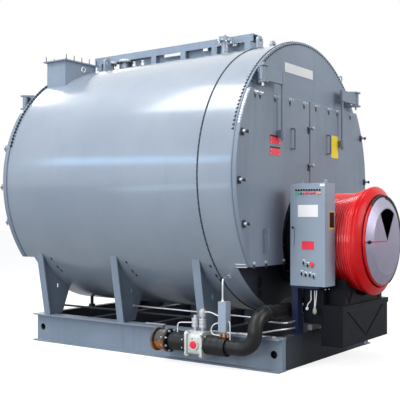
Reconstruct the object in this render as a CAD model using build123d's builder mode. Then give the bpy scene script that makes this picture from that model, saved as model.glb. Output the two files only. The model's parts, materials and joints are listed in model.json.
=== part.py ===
from build123d import *
import math
import os

os.makedirs("parts", exist_ok=True)

# Horizontal fire-tube boiler on a steel skid, in millimetres.
# X runs across the boiler, Y runs from the burner end to the rear, Z is up.
# The origin is the middle of the skid, on the ground.

# Skid
skid_half_width = 1260.0
skid_height = 380.0
beam_flange_width = 180.0
beam_flange_thickness = 18.0
beam_web_thickness = 12.0
cross_flange_width = 90.0
cross_flange_thickness = 15.0
cross_web_thickness = 12.0
front_cross_setback = 12.0
cross_beam_spacing = 1000.0
lift_hole_radius = 45.0
lift_hole_end_distance = 110.0

# Drum
drum_radius = 1700.0
drum_clearance = 140.0
drum_length = 3825.0
jacket_wall = 60.0
skid_front_reach = 270.0
skid_rear_setback = 115.0
front_jacket_length = 265.0
seam_band_width = 14.0
seam_band_height = 8.0
tube_sheet_thickness = 30.0
tube_sheet_inset = 14.0
seat_gap = 0.3
hand_hole_angle = 35.8
hand_hole_edge_distance = 246.0
hand_hole_length = 150.0
hand_hole_width = 60.0
hand_hole_depth = 20.0
square_hole_angle = 33.2
square_hole_edge_distance = 147.0

# Smokeboxes, their flanges and the plates bolted on them
smokebox_depth = 152.0
smokebox_wall = 30.0
smokebox_floor_share = 0.6118
flange_thickness = 20.0
flange_rim = 15.0
flange_inner_width = 110.0
mullion_width = 120.0
door_thickness = 58.0
dome_plate_thickness = 10.0
door_edge_chamfer = 5.0
door_top_share = 0.577
door_edge_setback = 6.0
panel_gap = 8.0
seam_gap = 18.0
weld_overlap = 1.0
larger_than_drum = 4 * drum_radius

# Door handles and davits
handle_bar_width = 22.0
handle_bar_depth = 18.0
handle_reach = 62.0
handle_length = 262.0
handle_corner = 20.0
upper_handle_x = 480.0
upper_handle_rise = 470.0
lower_handle_x = 1120.0
lower_handle_drop = 740.0
davit_pin_share = 0.7353
davit_reach = 440.0
davit_front_distance = 60.0
davit_arm_depth = 150.0
davit_arm_thickness = 36.0
davit_arm_rise = 169.0
davit_rod_radius = 16.0
davit_rod_tail = 35.0
davit_pin_radius = 20.0
davit_ear_thickness = 22.0
davit_ear_clearance = 6.0
davit_back_plate_thickness = 20.0
davit_ear_radius = 48.0
davit_plate_far_edge = 150.0
davit_plate_near_edge = 60.0
davit_boss_radius = 38.0
pin_clearance = 0.5
lug_length = 90.0
lug_outer_radius = 30.0
lug_rib_thickness = 24.0
lug_drop = 481.0

# Burner
burner_drop_share = 0.4488
burner_cutout_radius = 690.0
burner_plate_radius = 678.0
burner_plate_thickness = 30.0
burner_throat_radius = 560.0
burner_throat_wall = 80.0
burner_rib_radius = 545.0
burner_groove_radius = 522.0
burner_rib_count = 8
burner_collar_reach = 54.0
burner_rib_pitch = 68.0
burner_groove_width = 16.0
burner_neck_radius = 500.0
flare_radius = 658.0
flare_shoulder = 75.0
flare_shoulder_radius = 616.0
flare_crown = 278.0
flare_rounding = 60.0
flare_depth = 344.0
flare_mouth_radius = 556.0
inlet_groove = 8.0
inlet_collar_radius = 540.0
inlet_seat_reach = 972.0
inlet_recess_radius = 440.0
inlet_recess_depth = 200.0
inlet_lid_radius = 520.0
inlet_lid_rim = 8.0
inlet_lid_sheet = 8.0
inlet_lid_rise = 56.0
inlet_lid_flat_radius = 400.0
inlet_sector_radius = 385.0
inlet_sector_half_angle = 33.0

# Windbox under the burner
duct_half_width = 530.0
duct_front_reach = 735.0
duct_depth = 230.0
duct_top_drop = 435.0
air_box_half_width = 650.0
air_box_front_reach = 760.0
air_box_depth = 275.0
air_box_height = 472.0
air_box_clearance = 77.0
air_box_lip_height = 60.0
air_box_lip_depth = 10.0
crease_width = 16.0
crease_depth = 8.0
crease_reach = 520.0
crease_drop = 330.0
duct_crease_x = 420.0
duct_crease_reach = 80.0
duct_crease_rise = 155.0
duct_crease_drop = 125.0

# Control cabinet
cabinet_face_x = -840.0
cabinet_depth = 255.0
cabinet_width = 445.0
cabinet_height = 1180.0
cabinet_bottom = 952.0
cabinet_rear_reach = 185.0
cabinet_sheet = 12.0
cabinet_eye_inset = 70.0
cabinet_eye_radius = 22.0
cabinet_handle_reach = 20.0
cabinet_handle_inset = 40.0
cabinet_handle_width = 32.0
cabinet_door_thickness = 22.0
cabinet_door_gap = 5.0
cabinet_handle_height = 1520.0
cabinet_hinge_radius = 9.0
cabinet_hinge_length = 60.0
cabinet_hinge_leaf = 4.0
cabinet_hinge_clearance = 1.5
cabinet_hinge_inset = 190.0
cabinet_handle_length = 190.0
cabinet_corner_radius = 6.0
cabinet_handle_corner = 10.0
post_width = 100.0
post_depth = 80.0
post_x = -735.0
post_reach = 213.0
post_base_size = 170.0
post_base_thickness = 16.0
cabinet_foot_thickness = 30.0
cabinet_foot_depth = 356.0

# Saddles
front_saddle_distance = 780.0
middle_saddle_share = 0.489
rear_saddle_setback = 385.0
saddle_strip_width = 110.0
saddle_strip_thickness = 22.0
saddle_web_thickness = 20.0
saddle_foot_inset = 14.0
saddle_head_angle = 55.0
saddle_web_tip_angle = 28.9
saddle_web_foot_width = 281.0
saddle_hole_angle = 36.0
saddle_hole_edge_distance = 86.0
saddle_hole_length = 70.0
saddle_hole_width = 30.0

# Top of the drum
channel_width = 170.0
channel_height = 100.0
channel_thickness = 10.0
channel_x = 60.0
channel_rise = 155.0
channel_front_distance = 830.0
channel_rear_setback = 135.0
channel_web_thickness = 12.0
channel_web_rear_share = 0.85
stool_count = 6
stool_width = 90.0
stool_blank_height = 200.0
nozzle_x = -170.0
nozzle_distance = 1180.0
nozzle_radius = 44.0
nozzle_bore_radius = 38.0
nozzle_flange_radius = 95.0
nozzle_flange_thickness = 24.0
nozzle_rise = 165.0
nozzle_bolt_circle_radius = 76.0
nozzle_hole_radius = 9.5
nozzle_hole_count = 4
flue_centre_x = -695.0
flue_width = 620.0
flue_depth = 365.0
flue_rear_setback = 125.0
flue_rise = 30.0
flue_sheet = 12.0
flue_foot_margin = 30.0
flue_flange_rim = 40.0
flue_flange_thickness = 16.0
eye_plate_thickness = 30.0
eye_plate_width = 130.0
eye_hole_radius = 28.0
eye_height = 150.0
eye_sink = 40.0
front_eye_distance = 640.0
rear_eye_setback = 645.0
front_eye_x = 170.0
rear_eye_x = 305.0

# Gas train
gas_side_distance = 160.0
gas_height = 265.0
gas_pipe_radius = 84.0
gas_pipe_bore = 77.0
gas_flange_radius = 140.0
gas_flange_thickness = 25.0
gas_bolt_circle_radius = 120.65
gas_bolt_hole_radius = 11.2
gas_bolt_count = 8
gas_valve_swell = 12.0
gas_valve_belly = 34.0
gas_valve_belly_margin = 48.0
gas_end_valve_swell = 6.0
gas_inlet_distance = 1330.0
inlet_valve_length = 190.0
strainer_length = 310.0
strainer_drum_radius = 108.0
strainer_drum_margin = 55.0
outlet_drum_radius = 112.0
outlet_drum_length = 280.0
control_valve_length = 250.0
control_valve_width = 190.0
control_valve_height = 240.0
control_valve_corner = 40.0
control_flange_width = 250.0
control_flange_height = 300.0
control_flange_thickness = 28.0
control_cover_radius = 62.0
control_cover_depth = 22.0
gas_riser_reach = 60.0
gas_elbow_radius = 190.0
gas_cross_end_x = -650.0
gas_end_valve_length = 150.0
lever_length = 270.0
lever_width = 26.0
lever_thickness = 10.0
lever_height = 440.0
stem_radius = 16.0
actuator_radius = 42.0
actuator_height = 150.0
actuator_spacing = 105.0
actuator_neck_height = 40.0
actuator_cap_height = 20.0

# Junction box, conduits and drain
junction_width = 105.0
junction_depth = 100.0
junction_height = 340.0
junction_distance = 350.0
junction_bottom = 440.0
conduit_radius = 14.0
conduit_height = 480.0
drain_x = -300.0
drain_rear_setback = 335.0
drain_radius = 24.0
drain_valve_radius = 48.0
drain_bottom = 300.0
drain_valve_lift = 70.0
drain_valve_height = 70.0

# Worked-out places
skid_length = skid_front_reach + drum_length - skid_rear_setback
skid_front_y = -skid_length / 2
skid_rear_y = skid_length / 2
face_y = skid_front_y + skid_front_reach
drum_axis_height = skid_height + drum_clearance + drum_radius
drum_top = drum_axis_height + drum_radius
smokebox_floor_drop = smokebox_floor_share * drum_radius
door_top_rise = door_top_share * drum_radius
burner_axis_drop = burner_drop_share * drum_radius
davit_pin_x = davit_pin_share * drum_radius
davit_rod_x = davit_pin_x - davit_reach
davit_arm_height = drum_axis_height + door_top_rise + davit_arm_rise
dome_face_y = face_y + door_thickness - dome_plate_thickness
lug_height = drum_axis_height + door_top_rise - lug_drop
davit_rod_bottom = lug_height - lug_length / 2 - davit_rod_tail
rear_saddle_distance = drum_length - rear_saddle_setback
saddle_span = rear_saddle_distance - front_saddle_distance
middle_saddle_distance = front_saddle_distance + middle_saddle_share * saddle_span
saddle_distances = (front_saddle_distance, middle_saddle_distance, rear_saddle_distance)
saddle_foot_x = skid_half_width - saddle_foot_inset
saddle_web_foot_x = saddle_foot_x - saddle_web_foot_width
channel_underside = drum_top + channel_rise
channel_rear_distance = drum_length - channel_rear_setback
nozzle_flange_height = drum_top + nozzle_rise
flue_top = drum_top + flue_rise
gas_x = -(skid_half_width + gas_side_distance)
beam_x = skid_half_width - beam_flange_width / 2
cross_end_x = skid_half_width - beam_flange_width
flange_start = door_thickness
smokebox_start = flange_start + flange_thickness
tube_sheet_start = smokebox_start + smokebox_depth
jacket_start = tube_sheet_start + tube_sheet_thickness
seam_start = jacket_start + front_jacket_length
main_jacket_start = seam_start + seam_band_width
main_jacket_end = drum_length - jacket_start
rear_sheet_end = drum_length - tube_sheet_start
rear_smokebox_end = drum_length - smokebox_start
rear_flange_end = drum_length - flange_start
burner_height = drum_axis_height - burner_axis_drop
air_box_top = burner_height - flare_radius - air_box_clearance


def station(distance):
    """Upright plane on the drum axis, this far behind the face of the doors, looking out of the front."""
    return Plane(origin=(0, face_y + distance, drum_axis_height), x_dir=(1, 0, 0), z_dir=(0, -1, 0))


def level(height):
    """Level plane at this height above the ground."""
    return Plane.XY.offset(height)


def save(piece, name):
    piece.part.label = name
    export_step(piece.part, f"parts/{name}.step")


def drum_surface_height(x, radius):
    """Height above the drum axis of a circle of this radius at x."""
    return math.sqrt(radius**2 - x**2)


def below_axis(angle, radius):
    """Point this far from the drum axis, at this many degrees from straight down, in an upright plane."""
    return radius * math.sin(math.radians(angle)), -radius * math.cos(math.radians(angle))


# Skid beams: wide-flange beams along both sides, with a lifting hole in the web near each end
with BuildPart() as skid_beams:
    with BuildSketch(Plane.XZ.offset(-skid_rear_y)):
        for side in (-1, 1):
            with Locations((side * beam_x, skid_height / 2)):
                Rectangle(beam_web_thickness, skid_height)
            with Locations((side * beam_x, 0)):
                Rectangle(beam_flange_width, beam_flange_thickness, align=(Align.CENTER, Align.MIN))
            with Locations((side * beam_x, skid_height)):
                Rectangle(beam_flange_width, beam_flange_thickness, align=(Align.CENTER, Align.MAX))
    extrude(amount=skid_length)
    with BuildSketch(Plane.YZ):
        for hole_y in (skid_front_y + lift_hole_end_distance, skid_rear_y - lift_hole_end_distance):
            with Locations((hole_y, skid_height / 2)):
                Circle(lift_hole_radius)
    extrude(amount=skid_half_width, both=True, mode=Mode.SUBTRACT)
save(skid_beams, "skid_beams")


def channel_section(web_y, opening):
    """Channel on the ground: web at web_y, flanges towards opening, which is +1 rear or -1 front."""
    edge = Align.MIN if opening > 0 else Align.MAX
    with Locations((web_y, 0)):
        Rectangle(cross_web_thickness, skid_height, align=(edge, Align.MIN))
        Rectangle(cross_flange_width, cross_flange_thickness, align=(edge, Align.MIN))
    with Locations((web_y, skid_height)):
        Rectangle(cross_flange_width, cross_flange_thickness, align=(edge, Align.MAX))


with BuildPart() as skid_cross_channels:
    with BuildSketch(Plane.YZ.offset(-cross_end_x)):
        channel_section(skid_front_y + front_cross_setback, 1)
        for cross_number in (-1, 0, 1):
            channel_section(cross_number * cross_beam_spacing - cross_flange_width / 2, 1)
        channel_section(skid_rear_y - front_cross_setback, -1)
    extrude(amount=2 * cross_end_x)
save(skid_cross_channels, "skid_cross_channels")

# Saddles: a leaning strip and a web plate cut to the drum, on both sides at each carrying station
saddle_head_x, saddle_head_z = below_axis(saddle_head_angle, drum_radius + seat_gap)
saddle_web_tip_x, saddle_tip_z = below_axis(saddle_web_tip_angle, drum_radius + seat_gap)
saddle_hole_x, saddle_hole_z = below_axis(saddle_hole_angle, drum_radius + saddle_hole_edge_distance)
saddle_foot_z = skid_height - drum_axis_height


def saddle_plate(side, inner_foot_x, inner_head_x, inner_head_z):
    """Plate between the leaning outer edge and the inner edge given, cut to the drum at the top."""
    with BuildSketch(mode=Mode.PRIVATE) as plate:
        with BuildLine():
            Polyline(
                (side * saddle_head_x, saddle_head_z),
                (side * saddle_foot_x, saddle_foot_z),
                (side * inner_foot_x, saddle_foot_z),
                (side * inner_head_x, inner_head_z),
                close=True,
            )
        make_face()
        Circle(drum_radius + seat_gap, mode=Mode.SUBTRACT)
    add(plate.sketch)


with BuildPart() as drum_saddles:
    for distance in saddle_distances:
        with BuildSketch(station(distance + saddle_web_thickness / 2)):
            for side in (-1, 1):
                saddle_plate(side, saddle_web_foot_x, saddle_web_tip_x, saddle_tip_z)
                with Locations((side * saddle_hole_x, saddle_hole_z)):
                    SlotOverall(saddle_hole_length, saddle_hole_width, rotation=90, mode=Mode.SUBTRACT)
        extrude(amount=saddle_web_thickness)
        with BuildSketch(station(distance + saddle_strip_width / 2)):
            for side in (-1, 1):
                saddle_plate(
                    side,
                    saddle_foot_x - saddle_strip_thickness,
                    saddle_head_x - saddle_strip_thickness,
                    saddle_head_z,
                )
        extrude(amount=saddle_strip_width)
save(drum_saddles, "drum_saddles")

# Drum jacket in two lengths with the seam band between them
with BuildPart() as drum_jacket_main:
    with BuildSketch(station(main_jacket_end)):
        Circle(drum_radius)
        Circle(drum_radius - jacket_wall, mode=Mode.SUBTRACT)
    extrude(amount=main_jacket_end - main_jacket_start)
save(drum_jacket_main, "drum_jacket_main")

with BuildPart() as drum_jacket_front:
    with BuildSketch(station(seam_start)):
        Circle(drum_radius)
        Circle(drum_radius - jacket_wall, mode=Mode.SUBTRACT)
    extrude(amount=front_jacket_length)
save(drum_jacket_front, "drum_jacket_front")

with BuildPart() as seam_band:
    with BuildSketch(station(main_jacket_start)):
        Circle(drum_radius + seam_band_height)
        Circle(drum_radius - jacket_wall, mode=Mode.SUBTRACT)
    extrude(amount=seam_band_width)
save(seam_band, "seam_band")

# Tube sheets: round plates that close the jacket
hand_hole_x, hand_hole_z = below_axis(hand_hole_angle, drum_radius - hand_hole_edge_distance)
square_hole_x, square_hole_z = below_axis(square_hole_angle, drum_radius - square_hole_edge_distance)
for face_station, sheet_side, name in (
    (tube_sheet_start, 1, "front_tube_sheet"),
    (rear_sheet_end, -1, "rear_tube_sheet"),
):
    with BuildPart() as tube_sheet:
        with BuildSketch(station(face_station)):
            Circle(drum_radius - tube_sheet_inset)
            if sheet_side > 0:
                with Locations((0, -burner_axis_drop)):
                    Circle(burner_throat_radius - burner_throat_wall, mode=Mode.SUBTRACT)
        extrude(amount=-sheet_side * tube_sheet_thickness)
        # Recesses of the hand holes and the inspection holes
        with BuildSketch(station(face_station)):
            for side in (-1, 1):
                with Locations((side * hand_hole_x, hand_hole_z)):
                    SlotOverall(hand_hole_length, hand_hole_width, rotation=90)
                with Locations((side * square_hole_x, square_hole_z)):
                    Rectangle(hand_hole_width, hand_hole_width)
        extrude(amount=-sheet_side * hand_hole_depth, mode=Mode.SUBTRACT)
    save(tube_sheet, name)


def cut_off_disc(radius, floor_drop):
    """Disc on the drum axis with its bottom cut off level."""
    Circle(radius)
    with Locations((0, -floor_drop)):
        Rectangle(
            larger_than_drum, larger_than_drum, align=(Align.CENTER, Align.MAX), mode=Mode.SUBTRACT
        )


def cut_off_opening(radius, floor_drop):
    """The same shape taken out of what is drawn so far."""
    with BuildSketch(mode=Mode.PRIVATE) as opening:
        cut_off_disc(radius, floor_drop)
    add(opening.sketch, mode=Mode.SUBTRACT)


# Smokeboxes: shallow drums in line with the jacket, cut off level at the bottom
smokebox_inner_radius = drum_radius - smokebox_wall
smokebox_inner_drop = smokebox_floor_drop - smokebox_wall
for rear_station, name, has_burner in (
    (tube_sheet_start, "front_smokebox", True),
    (rear_smokebox_end, "rear_smokebox", False),
):
    with BuildPart() as smokebox:
        with BuildSketch(station(rear_station)):
            cut_off_disc(drum_radius, smokebox_floor_drop)
            cut_off_opening(smokebox_inner_radius, smokebox_inner_drop)
            if has_burner:
                with Locations((0, -burner_axis_drop)):
                    Circle(burner_throat_radius + seat_gap, mode=Mode.SUBTRACT)
        extrude(amount=smokebox_depth)
    save(smokebox, name)

# Flanges with a mullion behind the seam between the doors
flange_outer_radius = drum_radius + flange_rim
flange_inner_radius = drum_radius - flange_inner_width
for rear_station, name, has_burner in (
    (smokebox_start, "front_flange", True),
    (rear_flange_end, "rear_flange", False),
):
    with BuildPart() as flange:
        with BuildSketch(station(rear_station)):
            cut_off_disc(flange_outer_radius, smokebox_floor_drop)
            cut_off_opening(flange_inner_radius, smokebox_floor_drop - flange_inner_width)
            with BuildSketch(mode=Mode.PRIVATE) as bars:
                Rectangle(mullion_width, 2 * flange_inner_radius)
                with Locations((0, door_top_rise)):
                    Rectangle(2 * flange_inner_radius, mullion_width)
                with Locations((0, 0)):
                    Circle(flange_inner_radius + weld_overlap, mode=Mode.INTERSECT)
                with Locations((0, -smokebox_floor_drop)):
                    Rectangle(
                        larger_than_drum,
                        larger_than_drum,
                        align=(Align.CENTER, Align.MAX),
                        mode=Mode.SUBTRACT,
                    )
            add(bars.sketch)
            if has_burner:
                with Locations((0, -burner_axis_drop)):
                    Circle(burner_cutout_radius, mode=Mode.SUBTRACT)
        extrude(amount=flange_thickness)
    save(flange, name)

# Dome plates: the fixed segments above the doors
dome_bottom = door_top_rise + panel_gap / 2
for rear_station, name in (
    (flange_start, "front_dome_plate"),
    (rear_flange_end + dome_plate_thickness, "rear_dome_plate"),
):
    with BuildPart() as dome_plate:
        with BuildSketch(station(rear_station)):
            Circle(flange_outer_radius)
            with Locations((0, dome_bottom)):
                Rectangle(
                    larger_than_drum, larger_than_drum, align=(Align.CENTER, Align.MAX), mode=Mode.SUBTRACT
                )
        extrude(amount=dome_plate_thickness)
    save(dome_plate, name)

# Door leaves
door_radius = flange_outer_radius - door_edge_setback
door_rise = door_top_rise - panel_gap / 2


def door_outline(side, has_burner):
    """Half of the face below the dome plate, on one side of the middle seam."""
    with BuildSketch(station(door_seat)) as outline:
        cut_off_disc(door_radius, smokebox_floor_drop)
        with Locations((0, door_rise)):
            Rectangle(
                larger_than_drum, larger_than_drum, align=(Align.CENTER, Align.MIN), mode=Mode.SUBTRACT
            )
        with Locations((side * seam_gap / 2, 0)):
            Rectangle(
                larger_than_drum,
                larger_than_drum,
                align=(Align.MAX if side > 0 else Align.MIN, Align.CENTER),
                mode=Mode.SUBTRACT,
            )
        if has_burner:
            with Locations((0, -burner_axis_drop)):
                Circle(burner_cutout_radius, mode=Mode.SUBTRACT)
    return outline.sketch


def davit_lug(side):
    """Lug that the davit rod passes through, seen from above, on a rib to the leaf."""
    with BuildSketch(level(lug_height - lug_length / 2)) as lug:
        with Locations((side * davit_rod_x, pin_y)):
            Circle(lug_outer_radius)
        with Locations((side * davit_rod_x, face_y)):
            Rectangle(lug_rib_thickness, davit_front_distance, align=(Align.CENTER, Align.MAX))
        with Locations((side * davit_rod_x, pin_y)):
            Circle(davit_rod_radius + pin_clearance, mode=Mode.SUBTRACT)
    return lug.sketch


def grab_handle(side, handle_x, handle_z):
    """Flat bar bent twice, seen from the side, standing off the leaf."""
    with BuildSketch(Plane.YZ.offset(side * handle_x - handle_bar_width / 2)) as handle:
        with Locations((face_y, handle_z)):
            RectangleRounded(2 * handle_reach, handle_length, handle_corner)
            RectangleRounded(
                2 * (handle_reach - handle_bar_depth),
                handle_length - 2 * handle_bar_depth,
                handle_corner / 2,
                mode=Mode.SUBTRACT,
            )
        with Locations((face_y, handle_z)):
            Rectangle(handle_reach, handle_length, align=(Align.MIN, Align.CENTER), mode=Mode.SUBTRACT)
    return handle.sketch


def leaf(side, has_burner):
    """Door leaf with its softened front edge, its lug and its two handles."""
    with BuildPart() as panel:
        extrude(door_outline(side, has_burner), amount=door_seat)
        chamfer(panel.faces().sort_by(Axis.Y)[0].edges(), door_edge_chamfer)
        extrude(davit_lug(side), amount=lug_length)
        for handle_x, handle_z in (
            (upper_handle_x, drum_axis_height + upper_handle_rise),
            (lower_handle_x, drum_axis_height - lower_handle_drop),
        ):
            extrude(grab_handle(side, handle_x, handle_z), amount=handle_bar_width)
    return panel


door_seat = flange_start - seat_gap
pin_y = face_y - davit_front_distance
for side, name in ((-1, "front_left_door"), (1, "front_right_door")):
    save(leaf(side, True), name)

# Rear leaves, the front ones turned about, with no burner in them
with BuildPart() as rear_doors:
    for side in (-1, 1):
        mirror(leaf(side, False).part, about=station(drum_length / 2))
save(rear_doors, "rear_doors")

# Davits over the front doors: a fixed bracket with two ears and a pin, and an arm with its hanging rod
arm_top = davit_arm_height + davit_arm_depth / 2
arm_bottom = davit_arm_height - davit_arm_depth / 2
ear_top = arm_top + davit_ear_clearance
ear_bottom = arm_bottom - davit_ear_clearance


def davit_ear(side, height):
    """Ear seen from above: from the back plate on the dome plate out to the pin."""
    with BuildSketch(level(height)) as ear:
        with BuildLine():
            Polyline(
                (side * (davit_pin_x - davit_plate_far_edge), dome_face_y),
                (side * (davit_pin_x - davit_plate_near_edge), dome_face_y),
                (side * (davit_pin_x + davit_ear_radius), pin_y),
                (side * (davit_pin_x + davit_ear_radius), pin_y - davit_ear_radius),
                (side * (davit_pin_x - davit_ear_radius), pin_y - davit_ear_radius),
                (side * (davit_pin_x - davit_plate_far_edge), dome_face_y - davit_back_plate_thickness),
                close=True,
            )
        make_face()
    return ear.sketch


def davit_bracket(side):
    """Both ears, the pin between them and the back plate."""
    extrude(davit_ear(side, ear_top), amount=davit_ear_thickness)
    extrude(davit_ear(side, ear_bottom - davit_ear_thickness), amount=davit_ear_thickness)
    with BuildSketch(level(ear_bottom)) as uprights:
        with Locations((side * davit_pin_x, pin_y)):
            Circle(davit_pin_radius)
        with Locations(
            (side * (davit_pin_x - (davit_plate_far_edge + davit_plate_near_edge) / 2), dome_face_y)
        ):
            Rectangle(
                davit_plate_far_edge - davit_plate_near_edge,
                davit_back_plate_thickness,
                align=(Align.CENTER, Align.MAX),
            )
    extrude(uprights.sketch, amount=ear_top - ear_bottom)


with BuildPart() as davit_brackets:
    for side in (-1, 1):
        davit_bracket(side)
    # The same pair, turned about, on the rear dome plate
    mirror(about=station(drum_length / 2))
save(davit_brackets, "davit_brackets")


def davit_arm(side):
    """Arm between its two bosses, with the rod hanging from the outer one."""
    with BuildSketch(level(arm_bottom)) as arm:
        with Locations((side * (davit_pin_x + davit_rod_x) / 2, pin_y)):
            Rectangle(davit_pin_x - davit_rod_x, davit_arm_thickness)
        with Locations((side * davit_pin_x, pin_y)):
            Circle(davit_boss_radius)
        with Locations((side * davit_rod_x, pin_y)):
            Circle(lug_outer_radius)
        with Locations((side * davit_pin_x, pin_y)):
            Circle(davit_pin_radius + pin_clearance, mode=Mode.SUBTRACT)
    extrude(arm.sketch, amount=davit_arm_depth)
    with BuildSketch(level(davit_rod_bottom)) as rod:
        with Locations((side * davit_rod_x, pin_y)):
            Circle(davit_rod_radius)
    extrude(rod.sketch, amount=arm_bottom - davit_rod_bottom)


for side, name in ((-1, "left_davit"), (1, "right_davit")):
    with BuildPart() as davit:
        davit_arm(side)
    save(davit, name)

with BuildPart() as front_davits:
    for side in (-1, 1):
        davit_arm(side)
with BuildPart() as rear_davits:
    mirror(front_davits.part, about=station(drum_length / 2))
save(rear_davits, "rear_davits")

# Burner: plate, throat, ribbed body, flared ring, neck and inlet disc, all about one axis
burner_axis = Axis((0, 0, burner_height), (0, 1, 0))
burner_plate_front = flange_start - burner_plate_thickness


def burner_profile(points, rounded_corners=0):
    """Closed outline turned about the burner axis: points are reach ahead of the doors and radius.

    The outermost corners, as many as asked for, are rounded.
    """
    with BuildSketch(Plane.YZ) as outline:
        with BuildLine():
            Polyline([(face_y - reach, burner_height + radius) for reach, radius in points], close=True)
        make_face()
        if rounded_corners:
            fillet(outline.vertices().sort_by(Axis.Y)[-rounded_corners:], flare_rounding)
    revolve(outline.sketch, axis=burner_axis)


with BuildPart() as burner_throat:
    burner_profile(
        (
            (-tube_sheet_start, burner_throat_radius - burner_throat_wall),
            (-tube_sheet_start, burner_throat_radius),
            (-flange_start, burner_throat_radius),
            (-flange_start, burner_throat_radius - burner_throat_wall),
        )
    )
save(burner_throat, "burner_throat")

with BuildPart() as burner_plate:
    with BuildSketch(station(flange_start)):
        with Locations((0, -burner_axis_drop)):
            Circle(burner_plate_radius)
    extrude(amount=burner_plate_thickness)
save(burner_plate, "burner_plate")

rib_points = [(-burner_plate_front, 0.0), (-burner_plate_front, burner_groove_radius)]
for rib in range(burner_rib_count):
    rib_start = burner_collar_reach + rib * burner_rib_pitch
    rib_end = rib_start + burner_rib_pitch - burner_groove_width
    rib_points += [
        (rib_start, burner_groove_radius),
        (rib_start, burner_rib_radius),
        (rib_end, burner_rib_radius),
        (rib_end, burner_groove_radius),
    ]
body_reach = burner_collar_reach + burner_rib_count * burner_rib_pitch
rib_points += [(body_reach, burner_groove_radius), (body_reach, 0.0)]
with BuildPart() as burner_body:
    burner_profile(rib_points)
save(burner_body, "burner_body")

with BuildPart() as burner_flare_ring:
    burner_profile(
        (
            (body_reach, burner_neck_radius + seat_gap),
            (body_reach, burner_rib_radius),
            (body_reach + flare_shoulder, flare_shoulder_radius),
            (body_reach + flare_crown, flare_radius),
            (body_reach + flare_depth, flare_mouth_radius),
            (body_reach + flare_depth, burner_neck_radius + seat_gap),
        ),
        rounded_corners=2,
    )
save(burner_flare_ring, "burner_flare_ring")

# Neck: through the flared ring to a collar ahead of it, hollowed out behind the inlet lid
with BuildPart() as burner_neck:
    burner_profile(
        (
            (body_reach, 0.0),
            (body_reach, burner_neck_radius),
            (body_reach + flare_depth + inlet_groove, burner_neck_radius),
            (body_reach + flare_depth + inlet_groove, inlet_collar_radius),
            (inlet_seat_reach, inlet_collar_radius),
            (inlet_seat_reach, inlet_recess_radius),
            (inlet_seat_reach - inlet_recess_depth, inlet_recess_radius),
            (inlet_seat_reach - inlet_recess_depth, 0.0),
        )
    )
save(burner_neck, "burner_neck")

# Inlet lid: sheet pressed to a shallow cone with a flat middle, a sector cut out of the flat for the air
lid_reach = inlet_seat_reach + inlet_lid_rise
sector_half_width = inlet_lid_radius * math.tan(math.radians(inlet_sector_half_angle))
with BuildPart() as burner_inlet_disc:
    burner_profile(
        (
            (inlet_seat_reach, inlet_lid_radius),
            (inlet_seat_reach + inlet_lid_rim, inlet_lid_radius),
            (lid_reach, inlet_lid_flat_radius),
            (lid_reach, 0.0),
            (lid_reach - inlet_lid_sheet, 0.0),
            (lid_reach - inlet_lid_sheet, inlet_lid_flat_radius - inlet_lid_sheet),
            (inlet_seat_reach, inlet_lid_radius - inlet_lid_sheet),
        )
    )
    with BuildSketch(station(-lid_reach)):
        with BuildLine():
            Polyline(
                (0, -burner_axis_drop),
                (sector_half_width, inlet_lid_radius - burner_axis_drop),
                (-sector_half_width, inlet_lid_radius - burner_axis_drop),
                close=True,
            )
        make_face()
        with Locations((0, -burner_axis_drop)):
            Circle(inlet_sector_radius, mode=Mode.INTERSECT)
    extrude(amount=-inlet_lid_rise, mode=Mode.SUBTRACT)
save(burner_inlet_disc, "burner_inlet_disc")


def stiffening_crease(distance, middle_x, top, reach, drop):
    """V pressed into the front of a sheet box, from two upper points down to one between them."""
    with BuildSketch(station(distance)) as crease:
        rise = top - drum_axis_height
        with BuildLine():
            Polyline(
                (middle_x - reach, rise),
                (middle_x, rise - drop),
                (middle_x + reach, rise),
                (middle_x + reach + crease_width, rise),
                (middle_x, rise - drop - crease_width),
                (middle_x - reach - crease_width, rise),
                close=True,
            )
        make_face()
    return crease.sketch


with BuildPart() as burner_duct:
    with BuildSketch(level(air_box_top)):
        with Locations((0, face_y - duct_front_reach)):
            Rectangle(2 * duct_half_width, duct_depth, align=(Align.CENTER, Align.MIN))
    extrude(amount=burner_height - duct_top_drop - air_box_top)
    with BuildSketch(station(-body_reach)):
        with Locations((0, -burner_axis_drop)):
            Circle(flare_radius + seat_gap)
    extrude(amount=duct_front_reach, mode=Mode.SUBTRACT)
    with BuildSketch(station(flange_start)):
        with Locations((0, -burner_axis_drop)):
            Circle(burner_rib_radius + seat_gap)
    extrude(amount=flange_start + body_reach, mode=Mode.SUBTRACT)
    for side in (-1, 1):
        duct_crease = stiffening_crease(
            -duct_front_reach,
            side * duct_crease_x,
            air_box_top + duct_crease_rise,
            duct_crease_reach,
            duct_crease_drop,
        )
        extrude(duct_crease, amount=crease_depth)
save(burner_duct, "burner_duct")

with BuildPart() as air_box:
    with BuildSketch(level(air_box_top - air_box_height)):
        with Locations((0, face_y - air_box_front_reach)):
            Rectangle(2 * air_box_half_width, air_box_depth, align=(Align.CENTER, Align.MIN))
    extrude(amount=air_box_height)
    # Lip along the top of the front and the sides
    with BuildSketch(level(air_box_top - air_box_lip_height)):
        with Locations((0, face_y - air_box_front_reach - air_box_lip_depth)):
            Rectangle(
                2 * (air_box_half_width + air_box_lip_depth),
                air_box_depth + air_box_lip_depth,
                align=(Align.CENTER, Align.MIN),
            )
    extrude(amount=air_box_lip_height)
    air_box_crease = stiffening_crease(
        -air_box_front_reach, 0, air_box_top - air_box_lip_height, crease_reach, crease_drop
    )
    extrude(air_box_crease, amount=crease_depth)
save(air_box, "air_box")

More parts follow.
